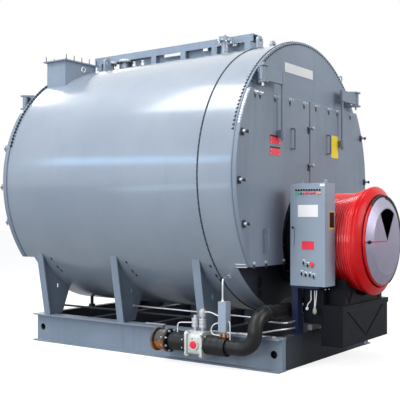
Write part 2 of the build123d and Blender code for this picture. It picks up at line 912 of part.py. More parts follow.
# Control cabinet on its post
cabinet_rear_y = face_y - cabinet_rear_reach
cabinet_front_y = cabinet_rear_y - cabinet_width
cabinet_box_x = cabinet_face_x + cabinet_door_thickness + cabinet_door_gap
cabinet_back_x = cabinet_face_x + cabinet_depth
cabinet_middle_y = (cabinet_rear_y + cabinet_front_y) / 2
cabinet_middle_z = cabinet_bottom + cabinet_height / 2
cabinet_hinge_heights = (
    cabinet_bottom + cabinet_hinge_inset,
    cabinet_bottom + cabinet_height - cabinet_hinge_inset,
)
cabinet_hinge_span = 2 * (cabinet_box_x - cabinet_face_x)
with BuildPart() as cabinet_body:
    with BuildSketch(Plane.YZ.offset(cabinet_box_x)):
        with Locations((cabinet_middle_y, cabinet_middle_z)):
            Rectangle(cabinet_width, cabinet_height)
    extrude(amount=cabinet_back_x - cabinet_box_x)
    with BuildSketch(Plane.YZ.offset(cabinet_box_x)):
        with Locations((cabinet_middle_y, cabinet_middle_z)):
            Rectangle(cabinet_width - 2 * cabinet_sheet, cabinet_height - 2 * cabinet_sheet)
    extrude(amount=cabinet_back_x - cabinet_box_x - cabinet_sheet, mode=Mode.SUBTRACT)
    # Lifting eyes on the lid
    for eye_y in (cabinet_rear_y - cabinet_eye_inset, cabinet_front_y + cabinet_eye_inset):
        with BuildSketch(Plane.YZ.offset((cabinet_box_x + cabinet_back_x) / 2)):
            with Locations((eye_y, cabinet_bottom + cabinet_height)):
                Rectangle(2 * cabinet_eye_radius, cabinet_eye_radius, align=(Align.CENTER, Align.MIN))
            with Locations((eye_y, cabinet_bottom + cabinet_height + cabinet_eye_radius)):
                Circle(cabinet_eye_radius)
            with Locations((eye_y, cabinet_bottom + cabinet_height + cabinet_eye_radius)):
                Circle(cabinet_eye_radius / 2, mode=Mode.SUBTRACT)
        extrude(amount=cabinet_sheet)
    # Hinge leaves on the side wall, each with a lower knuckle on the hinge line
    for hinge_z in cabinet_hinge_heights:
        with BuildSketch(level(hinge_z - cabinet_hinge_length / 2)):
            with Locations((cabinet_face_x, cabinet_front_y - cabinet_hinge_leaf)):
                Rectangle(cabinet_hinge_span, cabinet_hinge_leaf, align=(Align.MIN, Align.MIN))
            with Locations((cabinet_face_x, cabinet_front_y)):
                Circle(cabinet_hinge_radius)
        extrude(amount=cabinet_hinge_length / 2)
save(cabinet_body, "cabinet_body")

with BuildPart() as cabinet_door:
    with BuildSketch(Plane.YZ.offset(cabinet_face_x)):
        with Locations((cabinet_middle_y, cabinet_middle_z)):
            Rectangle(cabinet_width, cabinet_height)
    extrude(amount=cabinet_door_thickness)
    edges_to_round = cabinet_door.edges().filter_by(Axis.X)
    fillet(edges_to_round, radius=cabinet_corner_radius)
    with BuildSketch(Plane.YZ.offset(cabinet_face_x - cabinet_handle_reach)):
        with Locations((cabinet_rear_y - cabinet_handle_inset, cabinet_handle_height)):
            RectangleRounded(cabinet_handle_width, cabinet_handle_length, cabinet_handle_corner)
    extrude(amount=cabinet_handle_reach)
    # Notches for the lower knuckles, then the door's own knuckles above them
    for hinge_z in cabinet_hinge_heights:
        with BuildSketch(level(hinge_z - cabinet_hinge_length / 2 - cabinet_hinge_clearance)):
            with Locations((cabinet_face_x, cabinet_front_y)):
                Circle(cabinet_hinge_radius + cabinet_hinge_clearance)
        extrude(amount=cabinet_hinge_length / 2 + cabinet_hinge_clearance + seat_gap, mode=Mode.SUBTRACT)
        with BuildSketch(level(hinge_z + seat_gap)):
            with Locations((cabinet_face_x, cabinet_front_y)):
                Circle(cabinet_hinge_radius)
        extrude(amount=cabinet_hinge_length / 2)
save(cabinet_door, "cabinet_door")

post_y = face_y - post_reach
with BuildPart() as cabinet_post:
    with BuildSketch(level(skid_height)):
        with Locations((post_x, post_y)):
            Rectangle(post_base_size, cross_flange_width)
    extrude(amount=post_base_thickness)
    with BuildSketch(level(skid_height + post_base_thickness)):
        with Locations((post_x, post_y)):
            Rectangle(post_width, post_depth)
    extrude(amount=cabinet_bottom - skid_height - post_base_thickness - cabinet_foot_thickness)
    with BuildSketch(level(cabinet_bottom - cabinet_foot_thickness)):
        with Locations((post_x, face_y - cabinet_rear_reach)):
            Rectangle(post_base_size, cabinet_foot_depth, align=(Align.CENTER, Align.MAX))
    extrude(amount=cabinet_foot_thickness)
save(cabinet_post, "cabinet_post")

# Flue outlet on the rear of the drum, its foot cut to the jacket
flue_y = face_y + drum_length - flue_rear_setback - flue_depth / 2
flue_edge_x = abs(flue_centre_x) + flue_width / 2
flue_foot = drum_axis_height + drum_surface_height(flue_edge_x, drum_radius) - flue_foot_margin
with BuildPart() as flue_outlet:
    with BuildSketch(level(flue_foot)):
        with Locations((flue_centre_x, flue_y)):
            Rectangle(flue_width, flue_depth)
            Rectangle(flue_width - 2 * flue_sheet, flue_depth - 2 * flue_sheet, mode=Mode.SUBTRACT)
    extrude(amount=flue_top - flue_foot)
    with BuildSketch(level(flue_top)):
        with Locations((flue_centre_x, flue_y)):
            Rectangle(flue_width + 2 * flue_flange_rim, flue_depth + 2 * flue_flange_rim)
            Rectangle(flue_width - 2 * flue_sheet, flue_depth - 2 * flue_sheet, mode=Mode.SUBTRACT)
    extrude(amount=flue_flange_thickness)
    with BuildSketch(station(drum_length)):
        Circle(drum_radius + seat_gap)
    extrude(amount=drum_length, mode=Mode.SUBTRACT)
save(flue_outlet, "flue_outlet")

# Top channel, welded on its stools and on a web plate along the crown
channel_length = channel_rear_distance - channel_front_distance
stool_pitch = (channel_length - 2 * stool_width) / (stool_count - 1)
with BuildPart() as top_channel:
    with BuildSketch(station(channel_rear_distance)):
        with Locations((channel_x, channel_underside - drum_axis_height)):
            Rectangle(channel_width, channel_height, align=(Align.CENTER, Align.MIN))
            Rectangle(
                channel_width - 2 * channel_thickness,
                channel_height - channel_thickness,
                align=(Align.CENTER, Align.MIN),
                mode=Mode.SUBTRACT,
            )
    extrude(amount=channel_length)
    for stool in range(stool_count):
        distance = channel_front_distance + stool_width + stool * stool_pitch
        with BuildSketch(station(distance + stool_width / 2)):
            with Locations((channel_x, channel_underside - drum_axis_height)):
                Rectangle(channel_width, stool_blank_height, align=(Align.CENTER, Align.MAX))
            Circle(drum_radius + seat_gap, mode=Mode.SUBTRACT)
        extrude(amount=stool_width)
    with BuildSketch(station(channel_front_distance + channel_web_rear_share * channel_length)):
        with Locations((channel_x, channel_underside - drum_axis_height + channel_height)):
            Rectangle(
                channel_web_thickness, stool_blank_height + channel_height, align=(Align.CENTER, Align.MAX)
            )
        Circle(drum_radius + seat_gap, mode=Mode.SUBTRACT)
    extrude(amount=channel_web_rear_share * channel_length - stool_width)
save(top_channel, "top_channel")

# Flanged nozzle on the crown
nozzle_y = face_y + nozzle_distance
nozzle_foot = drum_axis_height + drum_surface_height(nozzle_x, drum_radius) - nozzle_radius
with BuildPart() as top_nozzle:
    with BuildSketch(level(nozzle_foot)):
        with Locations((nozzle_x, nozzle_y)):
            Circle(nozzle_radius)
    extrude(amount=nozzle_flange_height - nozzle_foot)
    with BuildSketch(station(drum_length)):
        Circle(drum_radius + seat_gap)
    extrude(amount=drum_length, mode=Mode.SUBTRACT)
    with BuildSketch(level(nozzle_flange_height)):
        with Locations((nozzle_x, nozzle_y)):
            Circle(nozzle_flange_radius)
            with PolarLocations(nozzle_bolt_circle_radius, nozzle_hole_count, start_angle=45):
                Circle(nozzle_hole_radius, mode=Mode.SUBTRACT)
    extrude(amount=nozzle_flange_thickness)
    with BuildSketch(level(nozzle_foot)):
        with Locations((nozzle_x, nozzle_y)):
            Circle(nozzle_bore_radius)
    extrude(amount=2 * (nozzle_flange_height - nozzle_foot), mode=Mode.SUBTRACT)
save(top_nozzle, "top_nozzle")

# Lifting eyes on the crown
with BuildPart() as lifting_eyes:
    for eye_side in (-1, 1):
        for distance, eye_x in (
            (front_eye_distance, front_eye_x),
            (drum_length - rear_eye_setback, rear_eye_x),
        ):
            rise = drum_surface_height(eye_x, drum_radius)
            with BuildSketch(station(distance + eye_plate_thickness / 2)):
                with Locations((eye_side * eye_x, rise - eye_sink)):
                    Rectangle(eye_plate_width, eye_height, align=(Align.CENTER, Align.MIN))
                with Locations((eye_side * eye_x, rise - eye_sink + eye_height)):
                    Circle(eye_plate_width / 2)
                with Locations((eye_side * eye_x, rise - eye_sink + eye_height)):
                    Circle(eye_hole_radius, mode=Mode.SUBTRACT)
                Circle(drum_radius + seat_gap, mode=Mode.SUBTRACT)
            extrude(amount=eye_plate_thickness)
save(lifting_eyes, "lifting_eyes")


# Gas train beside the left beam
def gas_station(distance):
    """Upright plane on the axis of the gas run, looking out of the front."""
    return Plane(origin=(gas_x, face_y + distance, gas_height), x_dir=(1, 0, 0), z_dir=(0, -1, 0))


def gas_flange(distance, open_holes=False):
    """Flange whose rear face is this far behind the doors. Bolts fill the holes unless they are open."""
    with BuildSketch(gas_station(distance)) as ring:
        Circle(gas_flange_radius)
        Circle(gas_pipe_bore, mode=Mode.SUBTRACT)
        if open_holes:
            with PolarLocations(gas_bolt_circle_radius, gas_bolt_count, start_angle=180 / gas_bolt_count):
                Circle(gas_bolt_hole_radius, mode=Mode.SUBTRACT)
    extrude(ring.sketch, amount=gas_flange_thickness)


def gas_tube(distance, length, radius):
    """Length of pipe that starts this far behind the doors and runs forward."""
    with BuildSketch(gas_station(distance)) as wall:
        Circle(radius)
        Circle(gas_pipe_bore, mode=Mode.SUBTRACT)
    extrude(wall.sketch, amount=length)


inlet_valve_end = gas_inlet_distance - inlet_valve_length
strainer_end = inlet_valve_end - strainer_length
control_valve_end = strainer_end - control_valve_length
control_valve_y = face_y + strainer_end - control_valve_length / 2
with BuildPart() as gas_inlet_valve:
    gas_tube(gas_inlet_distance, inlet_valve_length, gas_pipe_radius + gas_valve_swell)
    gas_tube(
        gas_inlet_distance - gas_valve_belly_margin,
        inlet_valve_length - 2 * gas_valve_belly_margin,
        gas_pipe_radius + gas_valve_belly,
    )
    gas_flange(gas_inlet_distance, open_holes=True)
    gas_flange(inlet_valve_end + gas_flange_thickness)
    with BuildSketch(level(gas_height + gas_pipe_radius)):
        with Locations((gas_x, face_y + gas_inlet_distance - inlet_valve_length / 2)):
            Circle(stem_radius)
    extrude(amount=lever_height - gas_height - gas_pipe_radius)
save(gas_inlet_valve, "gas_inlet_valve")

with BuildPart() as gas_lever:
    with BuildSketch(level(lever_height + seat_gap)):
        with Locations((gas_x, face_y + gas_inlet_distance - inlet_valve_length / 2)):
            Circle(lever_width)
            Rectangle(lever_width, lever_length, align=(Align.CENTER, Align.MIN))
    extrude(amount=lever_thickness)
save(gas_lever, "gas_lever")

with BuildPart() as gas_inlet_spool:
    gas_tube(inlet_valve_end, strainer_length, gas_pipe_radius)
    gas_tube(
        inlet_valve_end - strainer_drum_margin,
        strainer_length - 2 * strainer_drum_margin,
        strainer_drum_radius,
    )
    gas_flange(inlet_valve_end)
    gas_flange(strainer_end + gas_flange_thickness)
save(gas_inlet_spool, "gas_inlet_spool")

with BuildPart() as gas_control_valve:
    with BuildSketch(gas_station(strainer_end)):
        RectangleRounded(control_valve_width, control_valve_height, control_valve_corner)
    extrude(amount=control_valve_length)
    for flange_distance in (strainer_end, control_valve_end + control_flange_thickness):
        with BuildSketch(gas_station(flange_distance)):
            RectangleRounded(control_flange_width, control_flange_height, control_valve_corner)
        extrude(amount=control_flange_thickness)
    # Pads under the actuators and the round cover on the outer side
    with BuildSketch(level(gas_height)):
        with Locations((gas_x, control_valve_y)):
            Rectangle(2 * actuator_radius, control_valve_length)
    extrude(amount=control_flange_height / 2)
    with BuildSketch(Plane.YZ.offset(gas_x - control_valve_width / 2 - control_cover_depth)):
        with Locations((control_valve_y, gas_height)):
            Circle(control_cover_radius)
    extrude(amount=control_cover_depth)
save(gas_control_valve, "gas_control_valve")

with BuildPart() as gas_actuators:
    for shift in (-actuator_spacing / 2, actuator_spacing / 2):
        actuator_foot = gas_height + control_flange_height / 2
        for foot, height, radius in (
            (actuator_foot, actuator_neck_height, actuator_radius / 2),
            (actuator_foot + actuator_neck_height, actuator_height - actuator_neck_height, actuator_radius),
            (actuator_foot + actuator_height, actuator_cap_height, actuator_radius / 2),
        ):
            with BuildSketch(level(foot)):
                with Locations((gas_x, control_valve_y + shift)):
                    Circle(radius)
            extrude(amount=height)
save(gas_actuators, "gas_actuators")

riser_y = face_y - gas_riser_reach
cross_height = gas_height + 2 * gas_elbow_radius
with BuildPart() as gas_outlet_pipe:
    with BuildLine() as gas_route:
        FilletPolyline(
            (gas_x, face_y + control_valve_end, gas_height),
            (gas_x, riser_y, gas_height),
            (gas_x, riser_y, cross_height),
            (gas_cross_end_x, riser_y, cross_height),
            radius=gas_elbow_radius - weld_overlap,
        )
    with BuildSketch(gas_station(control_valve_end)):
        Circle(gas_pipe_radius)
    sweep(path=gas_route.wires()[0])
    # Wide length that the switch box stands on
    with BuildSketch(gas_station(control_valve_end)):
        Circle(outlet_drum_radius)
    extrude(amount=outlet_drum_length)
save(gas_outlet_pipe, "gas_outlet_pipe")

end_valve_x = gas_cross_end_x + gas_end_valve_length
with BuildPart() as gas_end_valve:
    for flange_x in (gas_cross_end_x, end_valve_x - gas_flange_thickness):
        with BuildSketch(Plane.YZ.offset(flange_x)):
            with Locations((riser_y, cross_height)):
                Circle(gas_flange_radius)
        extrude(amount=gas_flange_thickness)
    with BuildSketch(Plane.YZ.offset(gas_cross_end_x)):
        with Locations((riser_y, cross_height)):
            Circle(gas_pipe_radius + gas_end_valve_swell)
    extrude(amount=gas_end_valve_length)
save(gas_end_valve, "gas_end_valve")

burner_feed_x = end_valve_x + gas_elbow_radius
burner_feed_top = burner_height - math.sqrt(
    (burner_groove_radius + seat_gap) ** 2 - (abs(burner_feed_x) + gas_pipe_radius) ** 2
)
with BuildPart() as burner_gas_pipe:
    with BuildLine() as feed_route:
        FilletPolyline(
            (end_valve_x, riser_y, cross_height),
            (burner_feed_x, riser_y, cross_height),
            (burner_feed_x, riser_y, burner_feed_top),
            radius=gas_elbow_radius - weld_overlap,
        )
    with BuildSketch(Plane.YZ.offset(end_valve_x)):
        with Locations((riser_y, cross_height)):
            Circle(gas_pipe_radius)
    sweep(path=feed_route.wires()[0])
    with BuildSketch(station(flange_start)):
        with Locations((0, -burner_axis_drop)):
            Circle(burner_rib_radius + seat_gap)
    extrude(amount=flange_start + body_reach, mode=Mode.SUBTRACT)
save(burner_gas_pipe, "burner_gas_pipe")

# Switch box standing on the gas pipe
with BuildPart() as junction_box:
    with BuildSketch(level(gas_height + outlet_drum_radius)):
        with Locations((gas_x, face_y + junction_distance)):
            Circle(stem_radius)
    extrude(amount=junction_bottom - gas_height - outlet_drum_radius)
    with BuildSketch(level(junction_bottom)):
        with Locations((gas_x, face_y + junction_distance)):
            Rectangle(junction_depth, junction_width)
    extrude(amount=junction_height)
save(junction_box, "junction_box")

# Conduit along the inner edges of the left saddles
web_inset = saddle_web_foot_x - saddle_web_tip_x
web_rise = saddle_tip_z - saddle_foot_z
conduit_set_off = (conduit_radius + seat_gap) * math.hypot(web_inset, web_rise)
conduit_lean = (conduit_height - skid_height) * web_inset
conduit_x = saddle_web_foot_x - (conduit_set_off + conduit_lean) / web_rise
with BuildPart() as side_conduit:
    with BuildSketch(station(saddle_distances[-1] + saddle_strip_width)):
        with Locations((-conduit_x, conduit_height - drum_axis_height)):
            Circle(conduit_radius)
    extrude(amount=saddle_distances[-1] - saddle_distances[0] + 2 * saddle_strip_width)
save(side_conduit, "side_conduit")

# Drain under the drum
with BuildPart() as drain_valve:
    with BuildSketch(level(drain_bottom)):
        with Locations((drain_x, face_y + drum_length - drain_rear_setback)):
            Circle(drain_radius)
    extrude(amount=drum_axis_height - drum_radius + jacket_wall - drain_bottom)
    with BuildSketch(level(drain_bottom + drain_valve_lift)):
        with Locations((drain_x, face_y + drum_length - drain_rear_setback)):
            Circle(drain_valve_radius)
    extrude(amount=drain_valve_height)
    with BuildSketch(station(drum_length)):
        Circle(drum_radius + seat_gap)
    extrude(amount=drum_length, mode=Mode.SUBTRACT)
save(drain_valve, "drain_valve")
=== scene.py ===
# %% [markdown]
# # Dressing an industrial boiler
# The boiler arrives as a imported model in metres: +Z is up, the burner looks along -Y, and the skid stands on Z = 0.
# This lesson gives it paint, fasteners, lamps and fittings. The model itself is never moved or bent, because the
# pieces made here are placed from its own measurements.

# %% Load the model
import json
import math

import bmesh
import bpy
from mathutils import Matrix, Quaternion, Vector


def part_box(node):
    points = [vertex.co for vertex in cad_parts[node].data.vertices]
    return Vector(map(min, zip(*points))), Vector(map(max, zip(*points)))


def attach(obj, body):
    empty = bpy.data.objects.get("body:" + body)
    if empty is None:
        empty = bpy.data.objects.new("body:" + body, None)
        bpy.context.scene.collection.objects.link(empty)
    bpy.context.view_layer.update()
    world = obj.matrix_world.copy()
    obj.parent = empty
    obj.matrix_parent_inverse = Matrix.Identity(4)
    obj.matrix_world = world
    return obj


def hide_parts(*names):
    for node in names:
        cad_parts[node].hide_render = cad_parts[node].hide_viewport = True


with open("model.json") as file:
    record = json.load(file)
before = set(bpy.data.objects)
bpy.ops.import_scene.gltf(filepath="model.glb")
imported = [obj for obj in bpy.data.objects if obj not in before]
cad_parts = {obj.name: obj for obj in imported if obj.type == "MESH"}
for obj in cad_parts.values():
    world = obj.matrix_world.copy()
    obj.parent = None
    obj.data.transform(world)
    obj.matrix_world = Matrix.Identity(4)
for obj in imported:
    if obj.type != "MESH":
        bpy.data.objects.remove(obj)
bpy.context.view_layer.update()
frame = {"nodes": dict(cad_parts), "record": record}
nodes = frame["nodes"]
scene = bpy.context.scene

# %% [markdown]
# ## Where things are
# A fastener looks right only when it sits on the plate that carries it. The main faces are therefore read from the
# model's boxes, so that a row of nuts follows the plate if the plate is ever changed.

# %% Read the main faces
door_low, door_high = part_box("front_left_door")
jacket_low, jacket_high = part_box("drum_jacket_main")
flange_low, flange_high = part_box("front_flange")
plate_low, plate_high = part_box("burner_plate")
LEAF_THICKNESS = 0.058
DOOR_FACE = flange_low.y - LEAF_THICKNESS
DOME_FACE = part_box("front_dome_plate")[0].y
REAR_DOOR_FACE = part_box("rear_flange")[1].y + LEAF_THICKNESS
REAR_DOME_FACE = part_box("rear_dome_plate")[1].y
DRUM_AXIS = (jacket_low.z + jacket_high.z) / 2
DRUM_RADIUS = (jacket_high.z - jacket_low.z) / 2
BURNER_AXIS = (plate_low.z + plate_high.z) / 2
RIM_RADIUS = (flange_high.x - flange_low.x) / 2
print("door face", round(DOOR_FACE, 3), "drum axis", round(DRUM_AXIS, 3), "radius", round(DRUM_RADIUS, 3))

# %% [markdown]
# ## The camera
# The photograph is taken level, at eye height, from the front left corner. A long lens keeps the drum's ends nearly
# the same size. The small vertical shift puts the eye line a little below the middle of the picture.

# %% Place the camera
portrait = bpy.data.cameras.new("portrait_camera")
portrait.lens = 69.3
portrait.sensor_width = 36
portrait.sensor_fit = "HORIZONTAL"
portrait.shift_y = 0.0365
portrait.clip_end = 200
camera = bpy.data.objects.new("portrait_camera", portrait)
camera.location = (-8.7142, -6.2819, 1.7720)
camera.rotation_euler = Vector((0.81147, 0.58439, 0)).to_track_quat("-Z", "Y").to_euler()
scene.collection.objects.link(camera)
scene.camera = camera
print("eye height", round(camera.location.z, 3), "lens", round(portrait.lens, 1))

# %% [markdown]
# ## Wiring nodes
# Every tree below is a list of nodes and of what feeds them. One helper adds a node, sets it up and gives each input
# either another node's socket or a plain value. The others make a named group, and the few nodes that come back.


# %% Helpers for node trees
def feed(tree, node, feeds):
    """Link each input to a socket, or set its own value."""
    for key, value in feeds.items():
        if isinstance(value, bpy.types.NodeSocket):
            tree.links.new(value, node.inputs[key])
        else:
            node.inputs[key].default_value = value


def add_node(tree, kind, feeds=None, **settings):
    node = tree.nodes.new(kind)
    for key, value in settings.items():
        setattr(node, key, value)
    feed(tree, node, feeds or {})
    return node


def group_tree(name, kind, inputs, outputs):
    """Make a node group whose sockets are given as label: (kind, value)."""
    tree = bpy.data.node_groups.new(name, kind)
    for way, entries in (("INPUT", inputs), ("OUTPUT", outputs)):
        for label, (socket, value) in entries.items():
            entry = tree.interface.new_socket(name=label, in_out=way, socket_type="NodeSocket" + socket)
            if value is not None:
                entry.default_value = value
    return tree


def maths(tree, operation, a, b):
    return add_node(tree, "ShaderNodeMath", {0: a, 1: b}, operation=operation).outputs[0]


def noise(tree, vector, scale, detail=3.0, rough=0.5):
    feeds = {"Scale": scale, "Detail": detail, "Roughness": rough, "Vector": vector}
    return add_node(tree, "ShaderNodeTexNoise", feeds).outputs["Fac"]


def ramp(tree, value, low, high):
    feeds = {"From Min": low, "From Max": high, "Value": value}
    return add_node(tree, "ShaderNodeMapRange", feeds, clamp=True, interpolation_type="SMOOTHSTEP").outputs["Result"]


def blend_colors(tree, factor, first, second):
    return add_node(tree, "ShaderNodeMix", {0: factor, 6: first, 7: second}, data_type="RGBA").outputs[2]


# %% [markdown]
# ## The studio
# The boiler stands on a plain pale floor under soft light. The backdrop is white only for what the camera, a mirror
# or a pane sees, so that it adds no light to the paint. The floor gets its whiteness in the same way and keeps the
# shadow under the skid.

# %% Fill the world and lay the floor
scene.view_settings.view_transform = "Standard"
studio = bpy.data.worlds.new("studio")
scene.world = studio
studio.use_nodes = True
air = studio.node_tree
air.nodes.clear()
soft = add_node(air, "ShaderNodeBackground", {"Color": (0.86, 0.92, 1.0, 1), "Strength": 0.52})
white = add_node(air, "ShaderNodeBackground", {"Color": (1, 1, 1, 1), "Strength": 1.0})
ray = add_node(air, "ShaderNodeLightPath").outputs
looked_through = maths(air, "MAXIMUM", ray["Is Camera Ray"], ray["Is Transmission Ray"])
seen = maths(air, "MAXIMUM", looked_through, ray["Is Glossy Ray"])
choose = add_node(air, "ShaderNodeMixShader", {"Fac": seen, 1: soft.outputs[0], 2: white.outputs[0]})
add_node(air, "ShaderNodeOutputWorld", {"Surface": choose.outputs[0]})

floor_mesh = bpy.data.meshes.new("floor")
floor_corners = [(x, y, -0.002) for x, y in ((-60, -60), (60, -60), (60, 60), (-60, 60))]
floor_mesh.from_pydata(floor_corners, [], [(0, 1, 2, 3)])
floor = bpy.data.objects.new("floor", floor_mesh)
scene.collection.objects.link(floor)
pale = bpy.data.materials.new("pale_floor")
pale.use_nodes = True
tree = pale.node_tree
tree.nodes.clear()
matte = add_node(tree, "ShaderNodeBsdfDiffuse", {"Color": (0.30, 0.30, 0.30, 1)})
ray = add_node(tree, "ShaderNodeLightPath").outputs
camera_white = maths(tree, "MULTIPLY", ray["Is Camera Ray"], 0.82)
lift = add_node(tree, "ShaderNodeMath", {0: ray["Is Glossy Ray"], 1: 0.10, 2: camera_white}, operation="MULTIPLY_ADD")
glow = add_node(tree, "ShaderNodeEmission", {"Color": (1, 1, 1, 1), "Strength": lift.outputs[0]})
both = add_node(tree, "ShaderNodeAddShader", {0: matte.outputs[0], 1: glow.outputs[0]})
add_node(tree, "ShaderNodeOutputMaterial", {"Surface": both.outputs[0]})
floor_mesh.materials.append(pale)
print("sky nodes", len(air.nodes), "floor nodes", len(tree.nodes))


# %% Hang the softboxes
def softbox(name, place, aim, size, size_y, power, color, roll=0):
    light = bpy.data.lights.new(name, "AREA")
    light.shape = "RECTANGLE"
    light.size = size
    light.size_y = size_y
    light.energy = power
    light.color = color
    lamp = bpy.data.objects.new(name, light)
    lamp.location = place
    aimed = (Vector(aim) - Vector(place)).to_track_quat("-Z", "Y")
    lamp.rotation_euler = (aimed @ Quaternion((0, 0, 1), math.radians(roll))).to_euler()
    lamp.visible_camera = False
    scene.collection.objects.link(lamp)


softbox("high_softbox", (-7.5, 0.5, 9.0), (0, 0, 2.6), 3.0, 9.0, 560, (1.0, 0.99, 0.97))
softbox("front_softbox", (1.5, -10.0, 5.5), (0, -1.7, 2.0), 5.0, 4.0, 390, (1.0, 0.985, 0.965))
softbox("overhead_softbox", (0.9, -2.5, 6.4), (0.1, -2.2, 2.2), 1.6, 1.0, 70, (1.0, 1.0, 1.0))
softbox("left_softbox", (-11.0, -1.0, 2.6), (0, -0.5, 1.0), 7.0, 2.6, 330, (1.0, 1.0, 1.0))
softbox("rear_softbox", (5.5, 8.0, 6.0), (0, 1.0, 2.4), 5.0, 4.0, 340, (0.95, 0.97, 1.0))
softbox("sky_softbox", (-4.1, 1.5, 9.7), (-1.3, -1.9, 3.0), 6.0, 3.0, 420, (0.97, 0.98, 1.0), 24)
softbox("tail_softbox", (0.2, 8.3, 9.2), (-1.2, 2.0, 3.4), 2.4, 0.9, 110, (1.0, 1.0, 1.0))
softbox("blue_strip", (-10.4, 7.2, 5.35), (-1.7, -0.3, 2.4), 5.5, 1.0, 115, (0.36, 0.66, 1.0))
softbox("low_strip", (-10.8, 5.6, 1.1), (-1.7, -0.6, 2.1), 4.0, 0.7, 34, (0.60, 0.80, 1.0))

# %% [markdown]
# ## Paint that has stood in a works yard
# Enamel on sheet steel is never one flat colour. Rain leaves soft streaks, dust lies on what looks up, and the sheet
# itself is a little wavy, which the highlights show. One node group makes all of that and hands out a colour, a
# roughness and a height, so that every painted piece ages in the same way at its own strength.

# %% Node group for weathered paint
weather = group_tree("weathered_paint", "ShaderNodeTree", {
    "Paint": ("Color", (0.3, 0.3, 0.3, 1)),
    "Dust": ("Color", (0.42, 0.41, 0.38, 1)),
    "Dust amount": ("Float", 0.25),
    "Streak amount": ("Float", 0.25),
    "Roughness": ("Float", 0.35),
    "Grain": ("Float", 260.0),
    "Ripple": ("Float", 0.3),
}, {"Color": ("Color", None), "Roughness": ("Float", None), "Height": ("Float", None)})
inside = add_node(weather, "NodeGroupInput").outputs
place = add_node(weather, "ShaderNodeTexCoord").outputs["Object"]
stretched = add_node(weather, "ShaderNodeMapping", {"Scale": (7.0, 7.0, 0.7), "Vector": place})
streaks = ramp(weather, noise(weather, stretched.outputs[0], 1.3, 5.0, 0.6), 0.5, 0.72)
clouds = ramp(weather, noise(weather, place, 1.1, 4.0, 0.55), 0.35, 0.75)
darker = add_node(weather, "ShaderNodeHueSaturation", {"Value": 0.72, "Color": inside["Paint"]})
lighter = add_node(weather, "ShaderNodeHueSaturation", {"Value": 1.1, "Saturation": 0.92, "Color": inside["Paint"]})
tinted = blend_colors(weather, clouds, inside["Paint"], lighter.outputs[0])
streaky = maths(weather, "MULTIPLY", streaks, inside["Streak amount"])
streaked = blend_colors(weather, streaky, tinted, darker.outputs[0])
normal = add_node(weather, "ShaderNodeNewGeometry").outputs["Normal"]
facing = add_node(weather, "ShaderNodeSeparateXYZ", {0: normal})
upward = ramp(weather, facing.outputs["Z"], 0.55, 0.98)
patchy = ramp(weather, noise(weather, place, 9.0, 6.0, 0.65), 0.38, 0.7)
dusty = maths(weather, "MULTIPLY", maths(weather, "MULTIPLY", upward, patchy), inside["Dust amount"])
scuffed = maths(weather, "ADD", inside["Roughness"], maths(weather, "MULTIPLY", patchy, 0.08))
peel = maths(weather, "MULTIPLY", noise(weather, place, inside["Grain"], 2.0), 0.12)
wavy = maths(weather, "MULTIPLY", noise(weather, place, 1.7, 1.0), inside["Ripple"])
add_node(weather, "NodeGroupOutput", {
    "Color": blend_colors(weather, dusty, streaked, inside["Dust"]),
    "Roughness": maths(weather, "ADD", scuffed, maths(weather, "MULTIPLY", dusty, 0.4)),
    "Height": maths(weather, "ADD", peel, wavy),
})
print("weathered_paint nodes", len(weather.nodes))

# %% [markdown]
# ## The finishes
# Each finish is one material: the node group above feeds colour, roughness and height, and the shader itself keeps
# its own fixed numbers, such as metal or clear coat, on its own sockets.


# %% Make the painted finishes
def painted(name, paint, roughness=0.35, coat=0.0, metal=0.0, dust=0.25, streaks=0.25, grain=260.0, ripple=0.3,
        bump=0.0015, shine=0.35):
    material = bpy.data.materials.new(name)
    material.use_nodes = True
    tree = material.node_tree
    aged = add_node(tree, "ShaderNodeGroup", {
        "Paint": (*paint, 1), "Dust amount": dust, "Streak amount": streaks, "Roughness": roughness,
        "Grain": grain, "Ripple": ripple,
    }, node_tree=weather).outputs
    bumps = add_node(tree, "ShaderNodeBump", {"Strength": 0.6, "Distance": bump, "Height": aged["Height"]})
    feed(tree, tree.nodes["Principled BSDF"], {
        "Base Color": aged["Color"], "Roughness": aged["Roughness"], "Normal": bumps.outputs[0], "Metallic": metal,
        "Specular IOR Level": shine, "Coat Weight": coat, "Coat Roughness": 0.15,
    })
    return material


